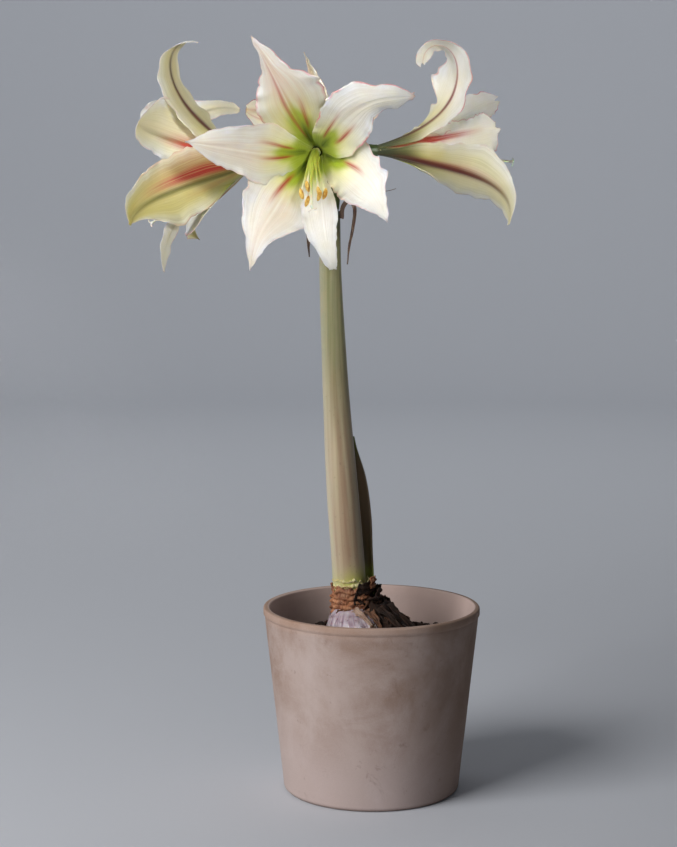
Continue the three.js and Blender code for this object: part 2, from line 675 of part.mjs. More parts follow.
const stalkSpace = scapeSolid(gap);
const leafSpace = leafSolid(gap);
const bulbBody = bulbSolid().subtract(stalkSpace).subtract(leafSpace);
const tunicBody = tunicWhole().subtract(bulbSolid(gap)).subtract(stalkSpace).subtract(leafSpace);
plant.add(meshOf("bulb", bulbBody, finishes.scale));
plant.add(meshOf("bulb_tunic", tunicBody, finishes.drySkin));
plant.add(meshOf("scape", scapeSolid(), finishes.stalk));
plant.add(meshOf("leaf", leafSolid(), finishes.leaf));

for (const [name, spathe] of Object.entries(spathes)) {
  const bract = solidOf(strapAlong(spathe, spatheBlade.along, spatheBlade.across, spatheBlade.thickness));
  plant.add(meshOf(name, bract.subtract(stalkSpace), finishes.dryBract));
}

for (const bloom of blooms) {
  plant.add(meshOf("tepals_" + bloom.name, tepalsSolid(bloom), finishes.petal));
  plant.add(meshOf("stamens_" + bloom.name, stamensSolid(bloom), finishes.filament));
  plant.add(meshOf("pedicel_" + bloom.name, pedicelSolid(bloom, stalkSpace), finishes.green));
}

export default plant;
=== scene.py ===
# A potted amaryllis in bloom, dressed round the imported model: petals, stamens, stalk, bulb, soil, pot.
# Shapes are worked out in millimetres and made metres as a piece is finished.
import math
import random
import bmesh
import bpy
from mathutils import Matrix, Vector, noise


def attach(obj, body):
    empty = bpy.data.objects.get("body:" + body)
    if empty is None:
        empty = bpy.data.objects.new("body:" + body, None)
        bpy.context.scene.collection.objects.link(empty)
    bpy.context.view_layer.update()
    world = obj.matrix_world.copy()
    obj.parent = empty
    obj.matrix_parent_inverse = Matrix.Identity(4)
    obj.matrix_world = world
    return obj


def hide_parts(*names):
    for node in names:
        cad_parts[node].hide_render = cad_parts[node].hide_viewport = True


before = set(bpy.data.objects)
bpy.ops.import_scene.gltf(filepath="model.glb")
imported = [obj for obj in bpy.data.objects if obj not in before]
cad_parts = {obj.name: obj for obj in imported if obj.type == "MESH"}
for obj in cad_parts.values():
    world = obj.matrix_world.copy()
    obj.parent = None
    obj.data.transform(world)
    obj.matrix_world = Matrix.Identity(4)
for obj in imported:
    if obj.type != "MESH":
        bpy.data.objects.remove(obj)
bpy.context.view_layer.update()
millimetre = 0.001


def clamp(x, low=0.0, high=1.0):
    return max(low, min(high, x))


def mix(low, high, x):
    return low + (high - low) * x


def ease(x, low, high):
    x = clamp((x - low) / (high - low))
    return x * x * (3 - 2 * x)


def hump(x, centre, width):
    return math.exp(-(((x - centre) / width) ** 2))


def keyed(keys, s):
    # a smooth value at s, 0 to 1, of keys at even steps
    x = clamp(s) * (len(keys) - 1)
    i = min(int(x), len(keys) - 2)
    f = x - i
    before, start, end, after = keys[max(i - 1, 0)], keys[i], keys[i + 1], keys[min(i + 2, len(keys) - 1)]
    return 0.5 * (2 * start + (end - before) * f + (2 * before - 5 * start + 4 * end - after) * f * f
                  + (3 * start - before - 3 * end + after) * f ** 3)


def wander(x, y=0.0, z=0.0, seed=0.0):
    # smooth noise from about -1 to 1
    return noise.noise(Vector((x + seed * 17.3, y - seed * 9.1, z + seed * 5.7)))


def route(points, steps):
    # evenly spaced points on a smooth curve through the given ones
    points = [Vector(p) for p in points]
    points = [2 * points[0] - points[1]] + points + [2 * points[-1] - points[-2]]
    fine = []
    for i in range(1, len(points) - 2):
        p0, p1, p2, p3 = points[i - 1:i + 3]
        d0, d1, d2 = (max((b - a).length, 1e-6) ** 0.5 for a, b in ((p0, p1), (p1, p2), (p2, p3)))
        m1 = ((p1 - p0) / d0 - (p2 - p0) / (d0 + d1) + (p2 - p1) / d1) * d1
        m2 = ((p2 - p1) / d1 - (p3 - p1) / (d1 + d2) + (p3 - p2) / d2) * d1
        for k in range(40):
            f = k / 40
            fine.append(p1 * (2 * f ** 3 - 3 * f * f + 1) + m1 * (f ** 3 - 2 * f * f + f)
                        + p2 * (3 * f * f - 2 * f ** 3) + m2 * (f ** 3 - f * f))
    fine.append(points[-2])
    reach = [0.0]
    for a, b in zip(fine, fine[1:]):
        reach.append(reach[-1] + (b - a).length)
    result, k = [], 0
    for i in range(steps + 1):
        wanted = reach[-1] * i / steps
        while k < len(fine) - 2 and reach[k + 1] < wanted:
            k += 1
        part = clamp((wanted - reach[k]) / max(reach[k + 1] - reach[k], 1e-9))
        result.append(fine[k].lerp(fine[k + 1], part))
    return result


def sheet(bm, across, along, place, material=0, around=False, marks=None):
    # a grid bent by place(u, v); around joins its first and last column into a tube
    made = bmesh.ops.create_grid(bm, x_segments=across, y_segments=along, size=0.5)["verts"]
    uvLayer = bm.loops.layers.uv.get("UVMap") or bm.loops.layers.uv.new("UVMap")
    at = {vert: (vert.co.x + 0.5, vert.co.y + 0.5) for vert in made}
    for face in {face for vert in made for face in vert.link_faces}:
        face.material_index = material
        face.smooth = True
        for loop in face.loops:
            loop[uvLayer].uv = at[loop.vert]
    for vert, (u, v) in at.items():
        vert.co = place(u, v)
        if marks:
            marks(vert, u, v)
    if around:
        seam = [vert for vert, (u, v) in at.items() if min(u, 1 - u) < 1e-4]
        bmesh.ops.remove_doubles(bm, verts=seam, dist=1e-3)
        ends = [edge for vert in made if vert.is_valid for edge in vert.link_edges if edge.is_boundary]
        bmesh.ops.holes_fill(bm, edges=list(set(ends)), sides=0)


def tube(bm, points, radiusAt, sides=12, depth=1.0, material=0, start=None):
    # a closed tube along points; radiusAt(angle, s) gives its radius
    steps = len(points) - 1
    side = Vector(start or (1, 0, 0))
    frames = []
    for i, point in enumerate(points):
        ahead = (points[min(i + 1, steps)] - points[max(i - 1, 0)]).normalized()
        side = (side - ahead * side.dot(ahead)).normalized()
        frames.append((point, side.copy(), ahead.cross(side)))

    def place(u, v):
        point, side, up = frames[round(v * steps)]
        angle = 2 * math.pi * u
        offset = (side * math.cos(angle) + up * math.sin(angle)) * radiusAt(angle, v)
        return point + Vector((offset.x, offset.y * depth, offset.z))

    sheet(bm, sides, steps, place, material, around=True)


def lathe(bm, profile, steps, gap):
    # a profile of radii and heights, turned round the Z axis
    verts = [bm.verts.new((radius, 0, height)) for radius, height in profile]
    edges = [bm.edges.new(pair) for pair in zip(verts, verts[1:])]
    bmesh.ops.spin(bm, geom=verts + edges, cent=(0, 0, 0), axis=(0, 0, 1), angle=2 * math.pi, steps=steps,
                   use_merge=True)
    bmesh.ops.remove_doubles(bm, verts=bm.verts, dist=gap)
    for face in bm.faces:
        face.smooth = True


def addObject(name, data):
    added = bpy.data.objects.new(name, data)
    bpy.context.scene.collection.objects.link(added)
    return added


def addMesh(name, bm):
    mesh = bpy.data.meshes.new(name)
    bm.to_mesh(mesh)
    bm.free()
    return addObject(name, mesh)


def finishPiece(name, bm, finishes, replaced=(), outwards=True):
    if outwards:
        bmesh.ops.recalc_face_normals(bm, faces=bm.faces)
    bmesh.ops.scale(bm, vec=(millimetre,) * 3, verts=bm.verts)
    piece = addMesh(name, bm)
    for finish in finishes:
        piece.data.materials.append(finish)
    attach(piece, "root")
    if replaced:
        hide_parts(*replaced)
    return piece


def thicken(piece, thickness):
    solid = piece.modifiers.new("thickness", "SOLIDIFY")
    solid.thickness = thickness * millimetre
    solid.offset = 0
    return solid


def tone(red, green, blue):
    # an 0 to 255 screen colour as the shader's linear one
    def linear(c):
        return c / 255 / 12.92 if c <= 10 else ((c / 255 + 0.055) / 1.055) ** 2.4

    return linear(red), linear(green), linear(blue), 1


class Finish:
    # a material, with short ways to add its nodes
    def __init__(self, name):
        self.material = bpy.data.materials.new(name)
        self.material.use_nodes = True
        self.tree = self.material.node_tree
        self.shader = self.tree.nodes["Principled BSDF"]

    def node(self, kind, inputs=None, **settings):
        node = self.tree.nodes.new("ShaderNode" + kind)
        for key, value in settings.items():
            setattr(node, key, value)
        for key, value in (inputs or {}).items():
            self.feed(node.inputs[key], value)
        return node

    def feed(self, socket, value):
        if isinstance(value, bpy.types.NodeSocket):
            self.tree.links.new(value, socket)
        else:
            socket.default_value = value

    def give(self, **values):
        for key, value in values.items():
            self.feed(self.shader.inputs[key.replace("_", " ")], value)

    def maths(self, operation, a, b=0.0, c=0.0):
        return self.node("Math", {0: a, 1: b, 2: c}, operation=operation).outputs[0]

    def mixed(self, factor, a, b):
        return self.node("Mix", {0: factor, 6: a, 7: b}, data_type="RGBA").outputs[2]

    def fade(self, value, low, high, start=0.0, end=1.0):
        inputs = {"Value": value, "From Min": low, "From Max": high, "To Min": start, "To Max": end}
        return self.node("MapRange", inputs, interpolation_type="SMOOTHSTEP").outputs[0]

    def over(self, colour, tint, mask, strength):
        return self.mixed(self.maths("MULTIPLY", mask, strength), colour, tint)

    def stretched(self, vector, scale):
        return self.node("Mapping", {"Vector": vector, "Scale": scale}).outputs[0]

    def place(self, scale=(1, 1, 1)):
        return self.stretched(self.node("TexCoord").outputs["Object"], scale)

    def uv(self):
        return self.node("UVMap", uv_map="UVMap").outputs[0]

    def axes(self, vector):
        return self.node("SeparateXYZ", {0: vector}).outputs

    def noise(self, vector, scale, detail=3.0, roughness=0.55, warp=0.0):
        inputs = {"Vector": vector, "Scale": scale, "Detail": detail, "Roughness": roughness,
                  "Distortion": warp}
        return self.node("TexNoise", inputs).outputs[0]

    def attribute(self, name):
        node = self.node("Attribute", attribute_name=name)
        parts = self.node("SeparateColor", {0: node.outputs["Color"]}).outputs
        return parts[0], parts[1], parts[2], node.outputs["Alpha"]

    def bump(self, height, strength=0.3, distance=0.001):
        inputs = {"Height": height, "Strength": strength, "Distance": distance}
        if self.shader.inputs["Normal"].is_linked:
            inputs["Normal"] = self.shader.inputs["Normal"].links[0].from_socket
        self.give(Normal=self.node("Bump", inputs).outputs[0])


def petalFinish(name, inside):
    look = dict(
        cream=tone(226, 225, 219), shade=tone(217, 212, 200), vein=tone(198, 188, 168),
        halo=tone(220, 219, 124), green=tone(160, 176, 42), deep=tone(104, 122, 26),
        streak=tone(168, 44, 34), blush=tone(206, 176, 152), edge=tone(212, 84, 98),
        sap=tone(234, 229, 198), veinDepth=0.34,
    ) if inside else dict(
        cream=tone(250, 244, 232), shade=tone(242, 234, 212), vein=tone(178, 164, 98),
        halo=tone(198, 190, 104), green=tone(112, 112, 40), deep=tone(42, 56, 20),
        streak=tone(180, 52, 36), blush=tone(226, 178, 150), edge=tone(206, 96, 96),
        sap=tone(206, 196, 126), rib=tone(98, 20, 8), veinDepth=0.3,
    )
    f = Finish(name)
    green, halo, streak, blush = f.attribute("insideMarks" if inside else "outsideMarks")
    rib, sap, edge, deep = f.attribute("otherMarks")
    uv = f.uv()
    across = f.axes(uv)[0]
    fromRib = f.maths("ABSOLUTE", f.maths("MULTIPLY_ADD", across, 2.0, -1.0))
    # veins run from root to tip, so their pattern is fine across the blade and long along it
    fine = f.noise(f.stretched(uv, (60, 2.2, 1)), 1.0, 2.0, 0.5, 0.25)
    broad = f.noise(f.stretched(uv, (17, 1.4, 1)), 1.0, 2.0, 0.6, 0.3)
    patches = f.noise(f.place(), 38.0, 3.0, 0.6)
    veins = f.fade(fine, 0.48, 0.66)
    colour = f.mixed(f.fade(patches, 0.3, 0.7), look["cream"], look["shade"])
    tinge = f.fade(fromRib, 1.0, 0.4, 0.0 if inside else 0.4, 0.2 if inside else 1.0)
    colour = f.over(colour, look["sap"], tinge, sap)
    colour = f.over(colour, look["blush"], blush, f.fade(broad, 0.2, 0.75))
    depth = f.fade(sap, 0.0, 1.0, look["veinDepth"] * (1.0 if inside else 0.35), look["veinDepth"])
    colour = f.over(colour, look["vein"], veins, depth)
    colour = f.over(colour, look["halo"], halo, f.fade(broad, 0.15, 0.6, 0.7, 1.0))
    if inside:
        # the marks hold the plain green up to 0.6 and the dark ray above it
        ray = f.fade(green, 0.6, 1.0)
        green = f.fade(green, 0.0, 0.6)
        colour = f.over(colour, look["green"], green, f.fade(fine, 0.2, 0.6, 0.8, 1.0))
        colour = f.over(colour, look["deep"], ray, 0.85)
    else:
        colour = f.over(colour, look["green"], green, f.fade(fine, 0.2, 0.6, 0.8, 1.0))
    hairs = f.fade(fine, 0.3, 0.55, 0.55, 1.0)
    colour = f.over(colour, look["streak"], streak, hairs)
    if not inside:
        colour = f.over(colour, look["rib"], rib, f.fade(fine, 0.25, 0.6, 0.85, 1.0))
        colour = f.over(colour, look["deep"], deep, f.fade(broad, 0.3, 0.6, 0.6, 1.0))
    rim = f.maths("MULTIPLY", f.fade(fromRib, 0.9, 0.98), f.fade(patches, 0.36, 0.52))
    colour = f.over(colour, look["edge"], rim, edge)
    f.give(Base_Color=colour, Roughness=f.fade(patches, 0.2, 0.8, 0.42, 0.56), Subsurface_Weight=0.75,
           Subsurface_Radius=(1.0, 0.9, 0.6), Subsurface_Scale=0.0018, Sheen_Weight=0.15,
           Sheen_Roughness=0.4)
    f.bump(fine, 0.4, 0.0006)
    f.bump(f.noise(f.place(), 900.0, 1.0), 0.05, 0.0002)
    return f.material


def plainFinish(name, low, high, scale, roughness, bumpiness=0.2, stretch=(1, 1, 1), subsurface=0.0):
    f = Finish(name)
    spot = f.noise(f.place(stretch), scale, 5.0, 0.6)
    f.give(Base_Color=f.mixed(f.fade(spot, 0.3, 0.7), low, high), Roughness=roughness,
           Subsurface_Weight=subsurface, Subsurface_Scale=0.001)
    f.bump(f.noise(f.place(stretch), scale * 3, 4.0, 0.65), bumpiness, 0.0006)
    return f.material


# Lists run from root to tip. lean is the midrib's angle off the bloom's axis, swing its drift round that
# axis, twist the blade's roll and cup the half angle of the arc across it, all in degrees. ccw and cw scale
# each side's width, ccw being the side counterclockwise of the midrib as seen from the bloom's mouth.
evenSides = (1,) * 11
outer = dict(
    root=5.3, depth=1.5, rootWidth=9, length=140, width=54, widest=0.56, lean=(10, 24, 44, 80, 125),
    swing=(0, 0, 0), twist=(0, 0, 0), cup=(50, 40, 16, 0, -20), ccw=evenSides, cw=evenSides,
    taper=1.3, tip=1.1, ruffle=2.2, waves=2.2, frill=1.0, jag=1.0, lobes=(), blush=0.1, throat=0.32,
    band=0.48, sap=0.6, olive=0.75, rib=0.3, ribReach=0.5, ribWidth=1.5, deep=0.22, edge=0.5,
    streaks=(), flames=(), seed=1,
)
inner = dict(outer, root=4.1, length=132, width=46, lean=(6, 17, 38, 70, 110), rib=0.15)
slimOuter, slimInner = dict(outer, root=3.5, rootWidth=6.4), dict(inner, root=2.9, rootWidth=6.4)

# A streak inside or a flame outside is a side of the midrib (1 is ccw), how far out it runs as a share of
# the half width, where it starts and ends, its width and its strength. A lobe is a side, a place, a height
# and a length, all but the side as shares.
blooms = {
    "front": dict(
        heading=-8, rise=-8, foot=(-34.4, -4.6), base=(-44.6, -24, 527),
        petals=(
            dict(outer, turn=14, length=130, width=56, lean=(26, 37, 47, 69, 99), swing=(0, 3, 21),
                 twist=(0, -12, -43), cup=(50, 40, 0, -18, -17),
                 ccw=(1, 1, 1.1, 1.1, 1.1, 1.05, 0.88, 0.77, 0.67, 0.45, 1),
                 cw=(1, 1, 1, 1, 1, 1.05, 1.07, 0.98, 0.63, 0.8, 1), frill=1.3, jag=1.8,
                 lobes=((-1, 0.655, 0.2, 0.026), (-1, 0.735, -0.24, 0.022)), blush=1.0, band=0.6,
                 edge=0.6, seed=2,
                 streaks=((1, 0.14, 0.16, 1.1, 0.045, 0.75), (-1, 0.24, 0.26, 0.62, 0.055, 0.9),
                          (1, 0.02, 0.3, 0.8, 0.02, 0.35))),
            dict(outer, turn=140, length=124, width=56, lean=(26, 36, 44, 62, 92), swing=(0, 8, 32),
                 twist=(0, 0, 36), cup=(50, 40, 14, 3, -9),
                 ccw=(1, 1, 1, 0.95, 0.92, 1.02, 1.1, 0.9, 0.68, 0.8, 1),
                 cw=(1, 1, 1.05, 1.1, 1.05, 0.97, 0.85, 0.7, 0.62, 0.8, 1), jag=1.3, blush=0.5, band=0.46,
                 edge=0.2, streaks=((-1, 0.12, 0.26, 0.6, 0.06, 1.0),), seed=3),
            dict(outer, turn=-102, length=108, width=57, lean=(26, 42, 47, 56, 75), swing=(0, -16, -62),
                 twist=(0, -6, 8), cup=(50, 40, 17, 8, -14),
                 ccw=(1, 1, 1, 1, 0.93, 0.88, 0.62, 0.57, 0.36, 0.38, 0.8),
                 cw=(1, 1, 1, 0.95, 0.88, 0.84, 0.84, 0.86, 0.82, 0.97, 1.2), jag=1.5,
                 lobes=((1, 0.6, 0.16, 0.02), (1, 0.7, 0.22, 0.025)), blush=0.0, edge=0.35,
                 streaks=((1, 0.1, 0.34, 0.62, 0.06, 1.0),), seed=4),
            dict(inner, turn=83, length=122, lean=(24, 33, 45, 66, 93), swing=(0, -6, 0),
                 twist=(0, -6, -16), cup=(50, 40, 14, 5, -21),
                 ccw=(1, 1, 1.15, 1.2, 1.2, 1.1, 0.9, 0.88, 1, 1.1, 1),
                 cw=(1, 1, 1, 1, 1.05, 1.05, 0.9, 0.93, 0.95, 1, 1), blush=0.5, edge=0.15,
                 streaks=((-1, 0.26, 0.22, 0.6, 0.055, 1.0), (1, 0.2, 0.22, 0.54, 0.055, 1.0)), seed=5),
            dict(inner, turn=197, length=118, width=30, lean=(24, 31, 42, 75, 120), swing=(0, -3, -7),
                 twist=(0, 4, 3), cup=(50, 40, 17, 6, -18),
                 ccw=(1, 0.8, 0.6, 0.6, 0.72, 0.85, 0.93, 0.76, 0.66, 0.65, 0.8),
                 cw=(1, 1, 1, 1, 1, 1, 1, 0.97, 0.88, 0.75, 0.8), taper=0.5, tip=7, blush=0.0, band=0.4,
                 edge=0.05, seed=6),
            dict(inner, turn=-48, length=135, width=51, lean=(24, 33, 48, 75, 101), swing=(0, 1, -47),
                 twist=(0, 20, 46), cup=(50, 40, 18, -26, -13),
                 ccw=(1, 1, 1, 0.85, 0.75, 0.78, 0.9, 0.86, 0.7, 0.9, 1.2),
                 cw=(1, 1, 1.2, 1.2, 1.05, 0.93, 0.8, 0.6, 0.76, 1.2, 1.2), taper=0.8, tip=7, frill=1.3,
                 jag=1.5, blush=0.05, edge=0.75,
                 streaks=((1, 0.28, 0.22, 0.62, 0.06, 1.0), (-1, 0.32, 0.28, 0.58, 0.065, 1.0)), seed=7),
        ),
    ),
    "right": dict(
        heading=88, rise=2, foot=(-29.9, 0.3), base=(1.3, 2, 528.8),
        petals=(
            dict(slimOuter, turn=19, length=152, lean=(14, 29, 65, 126, 282), swing=(0, 4, 2),
                 twist=(0, 14, 24, 50), cup=(50, 40, -15, 15, -18),
                 ccw=(1, 0.9, 0.8, 0.7, 0.78, 0.93, 0.83, 0.9, 0.62, 0.5, 1.0),
                 cw=(1, 1, 1.1, 1.25, 1.05, 1.2, 1.25, 1, 0.6, 0.5, 1.0), taper=0.5, tip=8, frill=1.3,
                 jag=1.4, lobes=((-1, 0.4, -0.3, 0.03), (-1, 0.49, 0.3, 0.035)), sap=0.0, olive=0.0,
                 rib=1.0, ribReach=0.85, ribWidth=2.1, deep=0.32, edge=0.7,
                 flames=((1, 0.0, 0.42, 1.2, 0.045, 0.7),), seed=8),
            dict(slimOuter, turn=145, length=140, width=56, lean=(10, 18, 21, 48, 109), swing=(0, 3, 11),
                 twist=(0, -14, -21), cup=(50, 40, 5, 28, -16),
                 ccw=(1, 1.1, 1.2, 1.02, 0.95, 1.05, 1, 0.88, 1.0, 1.1, 1.3),
                 cw=(1, 1, 1, 1, 1, 1, 1.02, 0.93, 0.92, 1.0, 1.3), taper=1.0, tip=5, sap=0.6, rib=1.0,
                 ribReach=1.05, ribWidth=4.2, deep=0.32, edge=0.2,
                 flames=((-1, 0.06, 0.1, 0.9, 0.13, 0.7),), seed=9),
            dict(slimOuter, turn=-112, length=130, lean=(10, 18, 24, 42, 80), rib=0.8, seed=10),
            dict(slimInner, turn=52, length=105, width=44, lean=(6, 10, 14, 23, 40), swing=(0, 10, 24),
                 twist=(0, 29, 43), cup=(50, 40, 30, 13, -10),
                 ccw=(1, 1, 0.9, 0.7, 0.7, 0.75, 0.8, 0.88, 1.05, 1.2, 1.3),
                 cw=(1, 1, 1, 1, 0.8, 0.6, 0.55, 0.6, 0.7, 1, 1.2), taper=0.42, tip=9, frill=3.2, jag=3.0,
                 sap=0.0, olive=0.0, edge=0.5,
                 flames=((1, 0.05, 0.08, 0.62, 0.14, 1.2), (-1, 0.1, 0.3, 0.92, 0.13, 1.2)), seed=11),
            dict(slimInner, turn=188, length=112, width=28, lean=(6, 8, 11, 22, 50), seed=12),
            dict(slimInner, turn=-41, length=112, width=50, lean=(6, 17, 30, 30, 16), swing=(0, 7, 20),
                 twist=(0, 33, 72), cup=(50, 40, 17, -11, -12), taper=0.5, tip=10, frill=1.8, jag=2.2,
                 sap=0.0, olive=0.0, edge=0.8, seed=13),
        ),
    ),
    "left": dict(
        heading=-106, rise=-8, foot=(-38.9, 0.3), base=(-88, 4, 522),
        petals=(
            dict(outer, turn=-4, length=149, width=49, lean=(14, 43, 61, 101, 209), swing=(0, -2, 5),
                 twist=(0, -6, 8), cup=(50, 40, 5, 17, -18),
                 ccw=(1, 1, 1, 1.2, 1.6, 1.3, 1.12, 1.12, 1.2, 1.0, 1),
                 cw=(1, 1, 1, 1.1, 1.15, 1, 0.82, 0.86, 1.0, 1.0, 1), taper=0.8, tip=5, sap=0.6,
                 olive=1.0, rib=1.0, ribReach=1.0, ribWidth=3.4, edge=0.2, seed=14),
            dict(outer, turn=124, length=145, lean=(10, 24, 37, 65, 108), swing=(0, 1, 0),
                 ccw=(1, 1, 1.5, 1.9, 2, 1.75, 1.3, 1.05, 1, 1, 1), sap=0.9, seed=15),
            dict(outer, turn=-123, length=131, width=57, lean=(10, 22, 28, 51, 98), swing=(0, 6, -4),
                 twist=(0, 14, 32), cup=(50, 40, 12, -16, -20),
                 ccw=(1, 1, 1.5, 1.45, 1.17, 0.97, 0.9, 0.93, 1, 1.2, 1),
                 cw=(1, 1, 1.2, 1.05, 0.97, 0.95, 1.02, 0.88, 0.77, 0.75, 1), tip=3, throat=0.14,
                 band=0.4, sap=1.0, olive=1.0, rib=0.1, deep=0.14, edge=0.3, seed=16,
                 flames=((1, 0.22, 0.1, 0.86, 0.13, 1.3), (1, 0.55, 0.1, 0.85, 0.25, 0.4),
                         (-1, 0.25, 0.1, 0.6, 0.12, 0.3), (-1, 0.85, 0.08, 0.75, 0.035, 0.8))),
            dict(inner, turn=40, length=156, width=50, lean=(6, 19, 58, 156, 215), swing=(0, 1, 7),
                 twist=(0, -22, -32), cup=(50, 40, 23, 8, -21),
                 ccw=(1, 1, 1, 1, 1, 1, 0.9, 0.6, 0.42, 0.4, 0.6),
                 cw=(1, 1, 1, 1, 1.3, 1.7, 1.6, 0.8, 0.42, 0.4, 0.6), taper=0.6, tip=5, sap=0.3, seed=17),
            dict(inner, turn=190, length=134, width=26, lean=(6, 19, 38, 65, 98), swing=(0, 7, 12),
                 taper=0.7, tip=5, ruffle=0.8, sap=0.1, olive=0.25, seed=18),
            dict(inner, turn=-40, length=112, width=54, lean=(6, 19, 33, 52, 88), swing=(0, -4, -30),
                 twist=(0, -18, -26), cup=(50, 40, 24, 4, -8),
                 ccw=(1, 1, 1, 1.1, 1.2, 1.3, 1.3, 1.3, 1.4, 1.4, 1),
                 cw=(1, 1, 0.8, 0.6, 0.55, 0.55, 0.55, 0.62, 0.62, 0.7, 1), taper=0.5, tip=3, sap=0.4,
                 edge=0.3, flames=((-1, 0.04, 0.2, 0.85, 0.16, 1.3), (1, 0.3, 0.2, 0.7, 0.2, 0.3)),
                 seed=19),
        ),
    ),
    "back": dict(
        heading=176, rise=3, foot=(-34.4, 4.6), base=(-30, 25, 524),
        petals=(
            dict(outer, turn=-20, length=134, width=16, lean=(10, 23, 46, 81, 120), twist=(0, 10, 20),
                 frill=1.5, blush=1.0, sap=0.2, rib=0.4, flames=((-1, 0.4, 0.5, 1.0, 0.3, 0.6),), seed=20),
            dict(outer, turn=120, length=92, width=34, lean=(10, 13, 18, 24, 40), rib=0.8, seed=21),
            dict(outer, turn=-54, length=124, width=38, lean=(10, 31, 58, 80, 150), swing=(0, -6, -26),
                 taper=0.5, tip=9, frill=1.8, jag=1.6, blush=0.9, sap=0.2, rib=0.1, edge=0.9,
                 flames=((1, 0.1, 0.5, 1.2, 0.06, 0.7), (-1, 0.3, 0.5, 1.2, 0.05, 0.6)), seed=22),
            dict(inner, turn=30, length=112, width=8, lean=(6, 20, 46, 104, 236), swing=(0, 10, 29),
                 blush=1.0, sap=0.4, edge=0.9, seed=23),
            dict(inner, turn=192, length=96, width=30, lean=(6, 12, 18, 28, 50), seed=24),
            dict(inner, turn=-50, length=104, width=34, lean=(6, 16, 30, 52, 80), swing=(0, 5, 8),
                 flames=((-1, 0.08, 0.12, 0.7, 0.1, 0.8),), seed=25),
        ),
    ),
}
petalMesh = dict(across=44, along=112, thickness=1.2, rim=0.28, midribSteps=60)
tubeOfPetals = dict(foot=4.6, mouth=4.6, length=5.5)


def toPlant(bloom):
    # the bloom's own axes, with +Z out of its mouth and +Y its top
    turn, lift = math.radians(bloom["heading"]), math.radians(bloom["rise"])
    out = Vector((math.sin(turn) * math.cos(lift), -math.cos(turn) * math.cos(lift), math.sin(lift)))
    right = Vector((0, 0, 1)).cross(out).normalized()
    up = out.cross(right)
    matrix = Matrix((right, up, out)).transposed().to_4x4()
    matrix.translation = Vector(bloom["base"])
    return matrix


def midribOf(petal):
    rows = []
    steps = petalMesh["midribSteps"]
    turn = math.radians(petal["turn"])
    point = Vector((-math.sin(turn) * petal["root"], math.cos(turn) * petal["root"], petal["depth"]))
    for i in range(steps + 1):
        s = i / steps
        lean = math.radians(keyed(petal["lean"], s))
        turn = math.radians(petal["turn"] + keyed(petal["swing"], s))
        twist = math.radians(keyed(petal["twist"], s))
        outward = Vector((-math.sin(turn), math.cos(turn), 0))
        along = outward * math.sin(lean) + Vector((0, 0, math.cos(lean)))
        face = outward * -math.cos(lean) + Vector((0, 0, math.sin(lean)))
        side = Vector((-math.cos(turn), -math.sin(turn), 0))
        rows.append((point.copy(), side * math.cos(twist) + face * math.sin(twist),
                     face * math.cos(twist) - side * math.sin(twist)))
        point += along * petal["length"] / steps
    return rows


def bladeWidth(petal, s):
    if s < petal["widest"]:
        swell = math.sin(math.pi / 2 * s / petal["widest"]) ** 1.5
        return mix(petal["rootWidth"], petal["width"], swell)
    x = (s - petal["widest"]) / (1 - petal["widest"])
    return max(petal["tip"], petal["width"] * max(0, 1 - x * x) ** petal["taper"])


